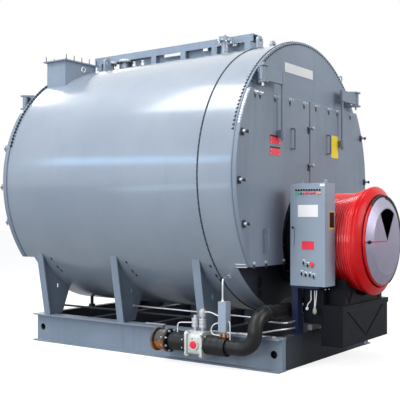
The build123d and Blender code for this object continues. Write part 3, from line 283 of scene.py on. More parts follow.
finishes = {
    "jacket_grey": painted("jacket_enamel", (0.208, 0.250, 0.308), 0.30, coat=1.0, dust=0.15, streaks=0.12,
        ripple=2.0, bump=0.005),
    "door_grey": painted("door_enamel", (0.180, 0.222, 0.282), 0.42, coat=0.05, dust=0.25, streaks=0.3, ripple=1.0,
        bump=0.003),
    "skid_grey": painted("skid_enamel", (0.195, 0.245, 0.310), 0.42, coat=0.08, dust=0.35, streaks=0.4, ripple=0.6),
    # The shadow_grey finish is painted shade: a dark colour for parts seen in shade, such as the tube sheet, the dark
    # nuts and studs, and the side conduit.
    "shadow_grey": painted("painted_shade_enamel", (0.034, 0.039, 0.052), 0.45, dust=0.2, streaks=0.4, shine=0.22),
    "burner_red": painted("burner_enamel", (0.60, 0.002, 0.005), 0.28, coat=0.06, shine=0.12, dust=0.0, streaks=0.15,
        ripple=0.5),
    "silver_sheet": painted("bare_sheet", (0.55, 0.53, 0.60), 0.34, metal=0.75, dust=0.1, streaks=0.2, ripple=1.5),
    "cast_silver": painted("cast_aluminium", (0.60, 0.61, 0.62), 0.48, metal=0.55, dust=0.2, streaks=0.3,
        grain=700.0),
    "black_paint": painted("black_enamel", (0.005, 0.006, 0.010), 0.42, shine=0.12, dust=0.04, streaks=0.2,
        ripple=1.0, bump=0.003),
    "cabinet_grey": painted("cabinet_powder_coat", (0.265, 0.330, 0.415), 0.42, dust=0.2, streaks=0.12, grain=900.0),
    "post_blue": painted("post_enamel", (0.013, 0.020, 0.060), 0.40, shine=0.2, dust=0.25, streaks=0.2),
    "pipe_black": painted("mill_scale_pipe", (0.011, 0.011, 0.012), 0.36, shine=0.3, dust=0.12, streaks=0.5,
        grain=420.0),
}
zinc = painted("zinc_plating", (0.68, 0.72, 0.78), 0.30, metal=0.85, dust=0.05, streaks=0.1, grain=600.0)
for subpart in frame["record"]["subparts"]:
    shown = nodes[subpart["node"]]
    shown.data.materials.clear()
    shown.data.materials.append(finishes[subpart["material_slot"]])

# %% [markdown]
# ## Rust, casting skin and the pressed lid
# Two castings and one pressing need more than paint. Rust starts low on a casting, where water hangs, and eats
# upwards in patches. One group makes the patches from a height and two noises; the inlet valve wears them as rust and
# the control valve as rests of its green primer. The inlet lid is bare sheet with a thin red pointer line painted
# from the hub to its rim.


# %% Node group for patches that start low
patches = group_tree("low_patches", "ShaderNodeTree", {
    "Under": ("Color", (0.05, 0.05, 0.05, 1)),
    "Patch": ("Color", (0.30, 0.10, 0.03, 1)),
    "Patch dark": ("Color", (0.12, 0.04, 0.02, 1)),
    "Top": ("Float", 0.3),
    "Depth": ("Float", 0.1),
    "Scale": ("Float", 14.0),
}, {"Color": ("Color", None), "Mask": ("Float", None)})
taken = add_node(patches, "NodeGroupInput").outputs
somewhere = add_node(patches, "ShaderNodeTexCoord").outputs["Object"]
how_high = add_node(patches, "ShaderNodeSeparateXYZ", {0: somewhere}).outputs["Z"]
below = maths(patches, "DIVIDE", maths(patches, "SUBTRACT", taken["Top"], how_high), taken["Depth"])
low_share = maths(patches, "MINIMUM", maths(patches, "MAXIMUM", below, -0.35), 0.6)
blots = noise(patches, somewhere, taken["Scale"], 6.0, 0.65)
patch_mask = ramp(patches, maths(patches, "ADD", blots, maths(patches, "MULTIPLY", low_share, 0.5)), 0.56, 0.64)
speckle = ramp(patches, noise(patches, somewhere, 45.0, 4.0, 0.6), 0.4, 0.65)
patch_color = blend_colors(patches, speckle, taken["Patch"], taken["Patch dark"])
covered = blend_colors(patches, patch_mask, taken["Under"], patch_color)
add_node(patches, "NodeGroupOutput", {"Color": covered, "Mask": patch_mask})
print("low_patches nodes", len(patches.nodes))


# %% Wear the castings and press the lid
def patched(material, patch, patch_dark, top, depth, scale, patch_roughness):
    """Lay the group's patches over a painted material."""
    tree = material.node_tree
    shader = tree.nodes["Principled BSDF"]
    group = add_node(tree, "ShaderNodeGroup", {
        "Under": shader.inputs["Base Color"].links[0].from_socket, "Patch": (*patch, 1),
        "Patch dark": (*patch_dark, 1), "Top": top, "Depth": depth, "Scale": scale,
    }, node_tree=patches).outputs
    smooth = shader.inputs["Roughness"].links[0].from_socket
    rougher = maths(tree, "ADD", smooth, maths(tree, "MULTIPLY", group["Mask"], patch_roughness))
    feed(tree, shader, {"Base Color": group["Color"], "Roughness": rougher})
    return material


def wear(node, material):
    nodes[node].data.materials.clear()
    nodes[node].data.materials.append(material)


rusty_casting = patched(
    painted("rusty_casting", (0.075, 0.062, 0.055), 0.50, dust=0.35, streaks=0.5, grain=300.0, ripple=1.5,
        bump=0.003),
    (0.42, 0.165, 0.045), (0.15, 0.052, 0.022), 0.30, 0.15, 13.0, 0.35,
)
wear("gas_inlet_valve", rusty_casting)
primed_casting = patched(
    painted("primed_casting", (0.60, 0.63, 0.60), 0.42, metal=0.25, dust=0.2, streaks=0.45, grain=500.0, ripple=1.5,
        bump=0.003),
    (0.045, 0.17, 0.085), (0.10, 0.12, 0.11), 0.26, 2.0, 17.0, 0.1,
)
wear("gas_control_valve", primed_casting)
# A black sheet that mostly stands for painted shade: the burner's recess and collar, the drum's slot marks and the
# skid's boxed ends. The hand hole covers wear it too.
black_shade_sheet = painted("black_and_painted_shade_sheet", (0.006, 0.006, 0.007), 0.6, dust=0.05, streaks=0.1, ripple=0.5)
silver_tube = painted("silver_conduit", (0.66, 0.67, 0.69), 0.30, metal=0.85, dust=0.08, streaks=0.15, grain=500.0)
brass = painted("brass_fitting", (0.55, 0.27, 0.13), 0.30, metal=0.9, dust=0.1, streaks=0.2, grain=600.0)
lid_sheet = painted("lid_sheet", (0.36, 0.335, 0.45), 0.33, metal=0.75, dust=0.08, streaks=0.2, grain=350.0,
    ripple=2.5, bump=0.004)
lid_tree = lid_sheet.node_tree
lid_shader = lid_tree.nodes["Principled BSDF"]
lid_object = add_node(lid_tree, "ShaderNodeTexCoord").outputs["Object"]
lid_place = add_node(lid_tree, "ShaderNodeSeparateXYZ", {0: lid_object}).outputs
off_line = maths(lid_tree, "ABSOLUTE", maths(lid_tree, "SUBTRACT", lid_place["Z"], BURNER_AXIS), 0.0)
on_line = maths(lid_tree, "LESS_THAN", off_line, 0.007)
pointer_line = maths(lid_tree, "MULTIPLY", on_line, maths(lid_tree, "LESS_THAN", lid_place["X"], -0.02))
lid_color = lid_shader.inputs["Base Color"].links[0].from_socket
feed(lid_tree, lid_shader, {"Base Color": blend_colors(lid_tree, pointer_line, lid_color, (0.62, 0.03, 0.12, 1))})
wear("burner_inlet_disc", lid_sheet)
wear("side_conduit", finishes["shadow_grey"])
print("materials", len(bpy.data.materials))

# %% [markdown]
# ## Helpers for small metal pieces
# Most fittings are turned, folded or cut from plate. Small helpers draw those shapes into one open mesh: a plate with
# softened edges, a turned profile in millimetres, a bar between two points, a prism, and a band along an arc. Another
# hangs the mesh on its body, so that one piece is one mesh with one name.

# %% Helpers that draw into an open mesh
UP, DOWN, LEFT, FRONT, REAR = (0, 0, 1), (0, 0, -1), (-1, 0, 0), (0, -1, 0), (0, 1, 0)


def off(base, x, y, z):
    return Vector(base) + Vector((x, y, z))


def around(count, radius, first=0.0):
    """Points (x, z) on a circle, for bolts."""
    turns = [first + 2 * math.pi * step / count for step in range(count)]
    return [(radius * math.cos(turn), radius * math.sin(turn)) for turn in turns]


def fan(middle, radius, degrees):
    """Places on a circle that faces the front, and the way out at each."""
    ways = [Vector((math.cos(math.radians(turn)), 0, math.sin(math.radians(turn)))) for turn in degrees]
    return [Vector(middle) + way * radius for way in ways], [tuple(way) for way in ways]


def in_plane(x, *spots):
    """A route for a tube through (y, z) points at one x."""
    return [(x, y, z) for y, z in spots]


def plate_box(mesh, low, high, soft=0.003):
    """Any two opposite corners give the plate."""
    low, high = [Vector([pick(pair) for pair in zip(low, high)]) for pick in (min, max)]
    middle, spans = (low + high) / 2, high - low
    shape = bmesh.ops.create_cube(mesh, size=1.0, matrix=Matrix.Translation(middle) @ Matrix.Diagonal((*spans, 1)))
    edges = list(dict.fromkeys(edge for vertex in shape["verts"] for edge in vertex.link_edges))
    soft = min(soft, min(spans) * 0.3)
    bmesh.ops.bevel(mesh, geom=edges, offset=soft, segments=1, affect="EDGES", profile=0.5)


def turned(mesh, start, direction, profile, sides=20, unit=1000):
    """Turn a profile of (distance along the axis, radius) pairs, in millimetres unless unit says otherwise."""
    axis = Vector(direction).normalized()
    across = axis.orthogonal().normalized()
    beside = axis.cross(across)
    rings = []
    for along, radius in profile:
        middle = Vector(start) + axis * (along / unit)
        rings.append([mesh.verts.new(middle + across * x + beside * z) for x, z in around(sides, radius / unit)])
    for lower, upper in zip(rings, rings[1:]):
        for step in range(sides):
            after = (step + 1) % sides
            mesh.faces.new((lower[step], lower[after], upper[after], upper[step]))
    mesh.faces.new(list(reversed(rings[0])))
    mesh.faces.new(rings[-1])


def bar(mesh, start, end, radius, sides=12):
    span = Vector(end) - Vector(start)
    turned(mesh, start, span, ((0, radius), (span.length, radius)), sides, unit=1)


def baked(piece):
    return bpy.data.meshes.new_from_object(piece.evaluated_get(bpy.context.evaluated_depsgraph_get()))


def placed(name, data, body):
    piece = bpy.data.objects.new(name, data)
    scene.collection.objects.link(piece)
    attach(piece, body)
    return piece


def hung(name, mesh, look, body="boiler", smooth=True):
    """Close an open mesh into a piece. The look is a finish's name or a material."""
    named = isinstance(look, str)
    bmesh.ops.recalc_face_normals(mesh, faces=mesh.faces)
    data = bpy.data.meshes.new(name)
    mesh.to_mesh(data)
    mesh.free()
    data.materials.append(finishes[look] if named else look)
    for face in data.polygons:
        face.use_smooth = smooth
    if smooth:
        data.set_sharp_from_angle(angle=math.radians(35))
    return placed(name, data, body)


def prism(mesh, outline, offset):
    low = [mesh.verts.new(Vector(corner)) for corner in outline]
    high = [mesh.verts.new(Vector(corner) + Vector(offset)) for corner in outline]
    mesh.faces.new(low)
    mesh.faces.new(list(reversed(high)))
    for step in range(len(low)):
        after = (step + 1) % len(low)
        mesh.faces.new((low[after], low[step], high[step], high[after]))


def arc_band(mesh, axis_z, front, back, inner, outer, first, last, steps):
    whole = abs(last - first) >= 2 * math.pi - 0.001
    rows = []
    for step in range(steps + (0 if whole else 1)):
        angle = first + (last - first) * step / steps
        row = []
        for y, radius in ((front, inner), (front, outer), (back, outer), (back, inner)):
            row.append(mesh.verts.new((radius * math.cos(angle), y, axis_z + radius * math.sin(angle))))
        rows.append(row)
    for step in range(steps):
        near, far = rows[step], rows[(step + 1) % len(rows)]
        for side in range(4):
            after = (side + 1) % 4
            mesh.faces.new((near[side], near[after], far[after], far[side]))
    if not whole:
        mesh.faces.new(rows[0])
        mesh.faces.new(list(reversed(rows[-1])))


def bent_tubes(name, routes, radius, material, body="boiler"):
    line = bpy.data.curves.new(name + "_line", "CURVE")
    line.dimensions = "3D"
    line.bevel_depth = radius
    line.bevel_resolution = 2
    line.use_fill_caps = True
    line.resolution_u = 4
    for route in routes:
        spline = line.splines.new("NURBS")
        spline.points.add(len(route) - 1)
        for point, spot in zip(spline.points, route):
            point.co = (*spot, 1)
        spline.order_u = 3
        spline.use_endpoint_u = True
    holder = bpy.data.objects.new(name + "_line", line)
    scene.collection.objects.link(holder)
    data = baked(holder)
    bpy.data.objects.remove(holder)
    data.materials.clear()
    data.materials.append(material)
    return placed(name, data, body)


def steel_ring(name, spot, major, minor, look):
    """A closed ring that stands upright and faces the front."""
    bpy.ops.mesh.primitive_torus_add(
        major_radius=major, minor_radius=minor, major_segments=28, minor_segments=8, location=spot,
        rotation=(math.pi / 2, 0, 0))
    ring = bpy.context.object
    ring.name = name
    bpy.ops.object.transform_apply(location=True, rotation=True, scale=True)
    ring.data.materials.append(look)
    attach(ring, "boiler")


# %% [markdown]
# ## Studs and nuts from Geometry Nodes
# The front flange alone carries nearly ninety nuts. A tree builds one stud with its washer and nut, sets a copy on
# each point, and turns it so that it stands off the plate. The points carry that direction as an attribute.

# %% Build the stud_and_nut tree
stud_tree = group_tree("stud_and_nut", "GeometryNodeTree", {
    "Geometry": ("Geometry", None),
    "Nut radius": ("Float", 0.012),
    "Nut height": ("Float", 0.010),
    "Washer radius": ("Float", 0.015),
    "Stud radius": ("Float", 0.006),
    "Stud length": ("Float", 0.018),
    "Finish": ("Material", None),
}, {"Geometry": ("Geometry", None)})
stud_sockets = {item.name: item.identifier for item in stud_tree.interface.items_tree if item.in_out == "INPUT"}
given = add_node(stud_tree, "NodeGroupInput").outputs
joined = add_node(stud_tree, "GeometryNodeJoinGeometry")


def stud_layer(sides, radius, depth, lift):
    """Stand one cylinder of the stud on the height given by lift."""
    shape = add_node(stud_tree, "GeometryNodeMeshCylinder", {"Vertices": sides, "Radius": radius, "Depth": depth})
    height = maths(stud_tree, "ADD", maths(stud_tree, "MULTIPLY", depth, 0.5), lift)
    offset = add_node(stud_tree, "ShaderNodeCombineXYZ", {"Z": height}).outputs[0]
    feeds = {"Translation": offset, "Geometry": shape.outputs["Mesh"]}
    stud_tree.links.new(add_node(stud_tree, "GeometryNodeTransform", feeds).outputs[0], joined.inputs[0])


washer_depth = maths(stud_tree, "MULTIPLY", given["Nut height"], 0.2)
nut_top = maths(stud_tree, "ADD", washer_depth, given["Nut height"])
crown_radius = maths(stud_tree, "MULTIPLY", given["Nut radius"], 0.8)
stud_layer(10, given["Washer radius"], washer_depth, 0.0)
stud_layer(6, given["Nut radius"], given["Nut height"], washer_depth)
stud_layer(8, crown_radius, maths(stud_tree, "MULTIPLY", given["Nut height"], 0.12), nut_top)
stud_layer(6, given["Stud radius"], given["Stud length"], 0.0)
way_off = add_node(stud_tree, "GeometryNodeInputNamedAttribute", {"Name": "stands_towards"}, data_type="FLOAT_VECTOR")
upright = add_node(stud_tree, "FunctionNodeAlignRotationToVector", {"Vector": way_off.outputs["Attribute"]}, axis="Z")
twist = add_node(stud_tree, "FunctionNodeRandomValue", {3: math.pi, "Seed": 7}, data_type="FLOAT")
spun = add_node(stud_tree, "FunctionNodeAxisAngleToRotation", {"Axis": (0, 0, 1), "Angle": twist.outputs[1]})
both_turns = {"Rotation": upright.outputs[0], "Rotate By": spun.outputs[0]}
turned_nut = add_node(stud_tree, "FunctionNodeRotateRotation", both_turns, rotation_space="LOCAL")
spread = add_node(stud_tree, "GeometryNodeInstanceOnPoints", {
    "Points": given["Geometry"], "Instance": joined.outputs[0], "Rotation": turned_nut.outputs[0]})
real = add_node(stud_tree, "GeometryNodeRealizeInstances", {0: spread.outputs[0]})
coated = add_node(stud_tree, "GeometryNodeSetMaterial", {"Geometry": real.outputs[0], "Material": given["Finish"]})
add_node(stud_tree, "NodeGroupOutput", {0: coated.outputs[0]})
print("stud_and_nut nodes", len(stud_tree.nodes))


# %% Set studs on a list of places
def studs(name, places, towards, nut=0.012, length=0.018, finish=None, body="boiler"):
    """Set a stud on each place. Towards is one direction for all, or a list with one for each."""
    data = bpy.data.meshes.new(name)
    data.from_pydata([tuple(place) for place in places], [], [])
    facing_way = data.attributes.new("stands_towards", "FLOAT_VECTOR", "POINT")
    for index, way in enumerate(towards if isinstance(towards, list) else [towards] * len(places)):
        facing_way.data[index].vector = way
    piece = bpy.data.objects.new(name, data)
    scene.collection.objects.link(piece)
    spread_studs = piece.modifiers.new("studs", "NODES")
    spread_studs.node_group = stud_tree
    for label, value in (
        ("Nut radius", nut),
        ("Nut height", nut * 0.85),
        ("Washer radius", nut * 1.25),
        ("Stud radius", nut * 0.5),
        ("Stud length", length),
        ("Finish", finishes[finish] if finish else zinc),
    ):
        spread_studs[stud_sockets[label]] = value
    plain = baked(piece)
    piece.modifiers.remove(spread_studs)
    piece.data = plain
    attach(piece, body)


# %% [markdown]
# ## The rows of fasteners
# Nuts stand shoulder to shoulder behind the upper rim of the front flange. The leaves are held by single studs along
# their top and bottom edges, and the pipe, flue and burner flanges have bolts of their own.

# %% Fasten the front and the rear
RIM_NUTS_FROM = 2.70
LEAF_EDGE = 1.7085
rim_places = [Vector((x, flange_high.y, DRUM_AXIS + z)) for x, z in around(212, RIM_RADIUS - 0.005)]
rim_places = [spot for spot in rim_places if spot.z > RIM_NUTS_FROM]
rear_rim_places = [(spot.x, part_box("rear_flange")[0].y, spot.z) for spot in rim_places]
dome_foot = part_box("front_dome_plate")[0].z + 0.06
dome_spots = [(p.x * 0.985, DRUM_AXIS + (p.z - DRUM_AXIS) * 0.985) for p in rim_places if p.z > dome_foot]
for name, places, way, nut, length in (
    ("front_rim_nuts", rim_places, 1, 0.0135, 0.032),
    ("rear_rim_nuts", rear_rim_places, -1, 0.0135, 0.032),
    ("dome_rim_screws", [(x, DOME_FACE, z) for x, z in dome_spots], -1, 0.009, 0.012),
    ("rear_dome_rim_screws", [(x, REAR_DOME_FACE, z) for x, z in dome_spots], 1, 0.009, 0.012),
):
    studs(name, places, (0, way, 0), nut, length, "shadow_grey")
seam_low, seam_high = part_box("seam_band")
seam_middle = Vector((0, (seam_low.y + seam_high.y) / 2, DRUM_AXIS))
seam_ways = [Vector((x, 0, z)) for x, z in around(150, 1.0)]
seam_places = [seam_middle + way * ((seam_high.x - seam_low.x) / 2 - 0.001) for way in seam_ways]
studs("seam_band_rivets", seam_places, [tuple(way) for way in seam_ways], 0.0045, 0.003, "skid_grey")
top_z, bottom_z = door_high.z - 0.042, door_low.z + 0.045
# Outline of a painted shadow: a dark prism below each leaf stud stands in for the shadow that the stud casts.
STUD_SHADOW = ((-0.022, -0.021), (0.022, -0.021), (0.004, -0.068), (-0.004, -0.068))
top_row = {"left": (-1.32, -1.212, -0.875, -0.516, -0.159), "right": (0.16, 0.52, 0.777, 1.188)}
bottom_row = {"left": (-1.342, -1.08, -0.674), "right": (0.674, 1.08, 1.342)}
for side in ("left", "right"):
    places = [Vector((x, DOOR_FACE, top_z)) for x in top_row[side]]
    low_places = [Vector((x, DOOR_FACE, bottom_z)) for x in bottom_row[side]]
    studs(f"{side}_leaf_studs", places, FRONT, 0.019, 0.046, body=f"{side}_door")
    # The low studs are short, because the open left leaf passes close by the cabinet.
    studs(f"{side}_leaf_low_studs", low_places, FRONT, 0.017, 0.016, body=f"{side}_door")
    # A dark prism below each stud is a painted shadow on the leaf.
    stud_shadows = bmesh.new()
    for spot in places + low_places:
        prism(stud_shadows, [(spot.x + dx, DOOR_FACE, spot.z + dz) for dx, dz in STUD_SHADOW], (0, -0.005, 0))
    hung(f"{side}_leaf_stud_shadows", stud_shadows, "shadow_grey", body=f"{side}_door", smooth=False)
    turns = [19.5 + step * 1.16 for step in range(13)]
    turns = [180 - turn for turn in turns] if side == "left" else turns
    edge_places, edge_ways = fan((0, DOOR_FACE + 0.024, DRUM_AXIS), LEAF_EDGE, turns)
    studs(f"{side}_leaf_edge_screws", edge_places, edge_ways, 0.0105, 0.008, body=f"{side}_door")
rear_leaf_studs = [
    (x, REAR_DOOR_FACE, z)
    for row, z in ((top_row, top_z), (bottom_row, bottom_z))
    for x in row["left"] + row["right"]
]
studs("rear_leaf_studs", rear_leaf_studs, REAR, 0.019, 0.046)
print("rim nuts", len(rim_places))

# %% Fasten the burner, the flue, the nozzle and the gas line
PLATE_BOLTS = 0.642
plate_places = [(x, plate_low.y, BURNER_AXIS + z) for x, z in around(36, PLATE_BOLTS, math.pi / 36)]
studs("burner_plate_studs", plate_places, FRONT, 0.012, 0.02, "shadow_grey")
flue_low, flue_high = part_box("flue_outlet")
flue_places = []
for share in (0.06, 0.28, 0.50, 0.72, 0.94):
    x = flue_low.x + (flue_high.x - flue_low.x) * share
    flue_places += [(x, flue_low.y + 0.020, flue_high.z), (x, flue_high.y - 0.020, flue_high.z)]
studs("flue_studs", flue_places, UP, 0.011, 0.072, "shadow_grey")
nozzle_low, nozzle_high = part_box("top_nozzle")
nozzle_middle = (nozzle_low + nozzle_high) / 2
nozzle_circle = around(4, 0.076, math.pi / 4)
nozzle_places = [(nozzle_middle.x + x, nozzle_middle.y + y, nozzle_high.z - 0.024) for x, y in nozzle_circle]
studs("nozzle_studs", nozzle_places, DOWN, 0.012, 0.016)
spool_low, spool_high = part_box("gas_inlet_spool")
gas_x = (spool_low.x + spool_high.x) / 2
gas_z = (spool_low.z + spool_high.z) / 2
joint_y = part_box("gas_inlet_valve")[0].y
GAS_BOLTS = around(8, 0.12365, math.pi / 8)
flange_places, flange_ways = [], []
for x, z in GAS_BOLTS:
    for y, way in ((joint_y + 0.025, 1), (joint_y - 0.025, -1), (spool_low.y + 0.025, 1)):
        flange_places.append((gas_x + x, y, gas_z + z))
        flange_ways.append((0, way, 0))
control_low, control_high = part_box("gas_control_valve")
for across in (-0.105, 0.0, 0.105):
    for up in (-0.125, 0.125):
        for y, way in ((control_low.y + 0.028, 1), (control_high.y - 0.028, -1)):
            flange_places.append((gas_x + across, y, gas_z + up))
            flange_ways.append((0, way, 0))
studs("gas_flange_studs", flange_places, flange_ways, 0.0125, 0.022)
print("gas axis", round(gas_x, 3), round(gas_z, 3), "studs", len(flange_places))

# %% [markdown]
# ## Clamps and latches on the leaves
# A T clamp hooks behind the rim and its knob draws the leaf shut. Two latches hold the leaves to each other over the
# seam. In front they swing away with their leaf, so they ride on its body. The rear end has its own set, which stays.

# %% Draw the T clamps and the seam latches
CLAMP_HEIGHTS = (2.70, 2.149, 1.651)
LATCH_HEIGHTS = (2.856, 2.389)
LATCH_KNOB = ((0, 20), (10, 20), (14, 12), (34, 12), (38, 24), (56, 24), (62, 16))
dull_zinc = painted("dull_zinc", (0.34, 0.37, 0.42), 0.36, metal=0.7, shine=0.4, dust=0.2)
KNOB_REACH, REAR_KNOB_REACH = 1.657, 1.668


def clamp_spot(sign, face, height, reach):
    """The place beside the rim where a clamp stands on its leaf."""
    angle = math.asin((height - DRUM_AXIS) / RIM_RADIUS)
    return Vector((sign * math.cos(angle) * reach, face, DRUM_AXIS + math.sin(angle) * reach))


def seam_latch(knobs, pads, face, way, height):
    """Way is -1 in front and 1 at the rear."""
    foot = (way * 0.03, face, height)
    turned(knobs, off(foot, 0, way * 0.012, 0), (0, way, 0), LATCH_KNOB)
    bar(knobs, off(foot, -0.038, way * 0.058, 0), off(foot, 0.038, way * 0.058, 0), 0.009)
    plate_box(pads, off(foot, way * 0.035, way * 0.012, -0.065), off(foot, way * -0.020, 0, 0.020), 0.004)


for side, sign, heights in (("left", -1, CLAMP_HEIGHTS), ("right", 1, (2.878, 2.239, 1.62))):
    clamps, hooks = bmesh.new(), bmesh.new()
    for height in heights:
        knob = clamp_spot(sign, DOOR_FACE, height, KNOB_REACH)
        turned(hooks, off(knob, 0, -0.001, 0), FRONT,
            ((0, 26), (14, 26), (18, 13), (62, 13), (66, 20), (78, 20), (82, 12)))
        bar(hooks, off(knob, -0.034, -0.052, 0), off(knob, 0.034, -0.052, 0), 0.010)
        for end in (-1, 1):
            ball = off(knob, end * 0.030, -0.052, 0)
            turned(clamps, ball, (end, 0, 0), ((0, 9), (4, 16), (12, 20), (21, 16), (26, 7)))
        plate_box(hooks, off(knob, -0.030, -0.013, -0.042), off(knob, 0.030, -0.001, 0.042), 0.004)
    hung(f"{side}_clamp_knobs", clamps, dull_zinc, body=f"{side}_door")
    hung(f"{side}_clamp_pads", hooks, "shadow_grey", body=f"{side}_door")
latches, latch_hooks = bmesh.new(), bmesh.new()
rear_clamps, rear_pads = bmesh.new(), bmesh.new()
for sign in (-1, 1):
    for height in CLAMP_HEIGHTS:
        knob = clamp_spot(sign, REAR_DOOR_FACE, height, REAR_KNOB_REACH)
        turned(rear_clamps, off(knob, 0, 0.001, 0), REAR,
            ((0, 24), (12, 24), (16, 12), (50, 12), (54, 21), (78, 21), (84, 14)))
        bar(rear_clamps, off(knob, 0, 0.066, 0.045), off(knob, 0, 0.066, -0.045), 0.009)
        plate_box(rear_pads, off(knob, -0.028, 0.001, -0.040), off(knob, 0.028, 0.013, 0.040), 0.004)
for height in LATCH_HEIGHTS:
    seam_latch(latches, latch_hooks, DOOR_FACE, -1, height)
    seam_latch(rear_clamps, rear_pads, REAR_DOOR_FACE, 1, height)
hung("seam_latch_knobs", latches, dull_zinc, body="left_door")
hung("seam_latch_hooks", latch_hooks, "shadow_grey", body="left_door")
hung("rear_clamp_knobs", rear_clamps, dull_zinc)
hung("rear_clamp_pads", rear_pads, "shadow_grey")
print("knob reach", KNOB_REACH, "inside the rim", round(RIM_RADIUS, 3))

# %% [markdown]
# ## The davits' small metal
# Each davit turns on a pin that passes through both ears of its bracket. The pin's ends show as bright turned heads,
# and a nut under the rod carries the leaf. A forged ring for the crane hook stands on the flange's right side, and thin
# strips close the step between the tube sheets and the jacket.

# %% Turn the pin heads and the rod nuts
PIN_X, ROD_X = 1.250, 0.810
PIN_Y, REAR_PIN_Y = -1.780, 2.165
PIN_TOP, PIN_FOOT = 3.473, 3.267
pins = bmesh.new()
for x in (-PIN_X, PIN_X):
    for y in (PIN_Y, REAR_PIN_Y):
        turned(pins, (x, y, PIN_TOP), UP, ((0, 20), (10, 20), (14, 12)), 16)
        turned(pins, (x, y, PIN_FOOT), DOWN, ((0, 14), (40, 14), (43, 9)), 16)
hung("davit_pin_heads", pins, "cast_silver")
for side, x in (("left", -ROD_X), ("right", ROD_X)):
    rod_nut = bmesh.new()
    turned(rod_nut, (x, PIN_Y, 2.652), UP, ((0, 19), (4, 21), (18, 21), (22, 19)), 6)
    hung(f"{side}_rod_nut", rod_nut, "door_grey", body=f"{side}_davit", smooth=False)
closing = bmesh.new()
for sheet in ("front_tube_sheet", "rear_tube_sheet"):
    sheet_low, sheet_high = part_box(sheet)
    rim = (sheet_high.x - sheet_low.x) / 2
    arc_band(closing, DRUM_AXIS, sheet_low.y, sheet_high.y, rim + 0.0005, DRUM_RADIUS, 0, 2 * math.pi, 180)
hung("jacket_closing_strips", closing, "jacket_grey")
crane_ring = bmesh.new()
ring_foot = Vector((1.030, (flange_low.y + flange_high.y) / 2, 3.588))
plate_box(crane_ring, off(ring_foot, -0.022, -0.008, -0.012), off(ring_foot, 0.022, 0.008, 0.016), 0.003)
hung("crane_ring_foot", crane_ring, "door_grey")
steel_ring("crane_ring", off(ring_foot, 0, 0, 0.050), 0.040, 0.008, finishes["door_grey"])
print("pins at", PIN_X, "rods at", ROD_X)

# %% [markdown]
# ## Ribbed sleeve and shroud on the burner
# The CAD's body is a plain drum. A rolled sleeve with rounded ribs goes round it, a little clear of the cabinet, and
# widens towards the front. A smooth shroud with a rounded crown replaces the look of the flared ring.

# %% Turn the sleeve and the shroud
def ring_shell(mesh, outline, sides=96):
    """Turn a closed outline of (y, radius) points round the burner's axis."""
    rings = []
    for y, radius in outline:
        rings.append([mesh.verts.new((x, y, BURNER_AXIS + z)) for x, z in around(sides, radius)])
    for ring, following in zip(rings, rings[1:] + rings[:1]):
        for step in range(sides):
            after = (step + 1) % sides
            mesh.faces.new((ring[step], ring[after], following[after], following[step]))


body_low, body_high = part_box("burner_body")
body_radius = (body_high.x - body_low.x) / 2
mouth_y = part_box("burner_flare_ring")[0].y
rib_pitch, rib_depth, crest = 0.036, 0.009, body_radius + 0.033
sleeve_back, widening, sleeve_front = body_high.y - 0.150, body_low.y - 0.047, mouth_y + 0.104
sleeve_outline = [(sleeve_front, body_radius + 0.002), (sleeve_back, body_radius + 0.002)]
spot_y = sleeve_back
while spot_y > sleeve_front:
    wider = max(0.0, widening - spot_y) / (widening - sleeve_front) * 0.060
    wave = math.sin(math.pi * (sleeve_back - spot_y) / rib_pitch) ** 2
    sleeve_outline.append((spot_y, crest + wider - rib_depth * (1 - wave)))
    spot_y -= rib_pitch / 10
ribbed = bmesh.new()
ring_shell(ribbed, sleeve_outline)
ribbed_red = painted("ribbed_enamel", (0.70, 0.003, 0.007), 0.16, coat=0.5, shine=0.30, dust=0.0, streaks=0.1,
    ripple=0.2)
hung("burner_ribbed_sleeve", ribbed, ribbed_red)
shroud = bmesh.new()
ring_shell(shroud, [
    (mouth_y + 0.120, 0.628), (mouth_y + 0.092, 0.644), (mouth_y + 0.070, 0.6505), (mouth_y + 0.058, 0.6500),
    (mouth_y + 0.048, 0.645), (mouth_y + 0.003, 0.566), (mouth_y + 0.001, 0.560), (mouth_y, 0.554),
    (mouth_y + 0.001, 0.548), (mouth_y + 0.006, 0.5425), (mouth_y + 0.120, 0.5425)])
shroud_piece = hung("burner_shroud", shroud, "burner_red")
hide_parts("burner_flare_ring")
heat_ring = bmesh.new()
ring_shell(heat_ring, [(sleeve_back - 0.002, crest + 0.002), (plate_low.y, crest + 0.002),
    (plate_low.y, body_radius + 0.001), (sleeve_back - 0.002, body_radius + 0.001)], 72)
hung("burner_heat_ring", heat_ring, "black_paint")
print("ribs", round((sleeve_back - sleeve_front) / rib_pitch, 1), "sleeve", len(sleeve_outline) * 96 * 2, "triangles")

# %% [markdown]
# ## The burner's throat, groove and pointer
# The sector cut in the inlet lid looks into the recess behind it, and a black liner there is painted shade. A black
# rubber rim runs round the collar, wider at the top right, where it is painted shade of the gap between lid and
# collar. Small screws stand in the groove behind the collar, and setting teeth show along the lid's rim on the right.

# %% Line the burner's inlet
GROOVE, TEETH = 0.554, 0.519
collar_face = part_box("burner_neck")[0].y
# A black liner in the recess is painted shade.
shade_lining = bmesh.new()
arc_band(shade_lining, BURNER_AXIS, collar_face + 0.002, collar_face + 0.196, 0.4345, 0.4385, 0, 2 * math.pi, 48)
turned(shade_lining, (0, collar_face + 0.1985, BURNER_AXIS), FRONT, ((0, 434), (4, 434), (6, 420)), 48)
hung("inlet_shade_lining", shade_lining, black_shade_sheet)
edging_and_shade = bmesh.new()
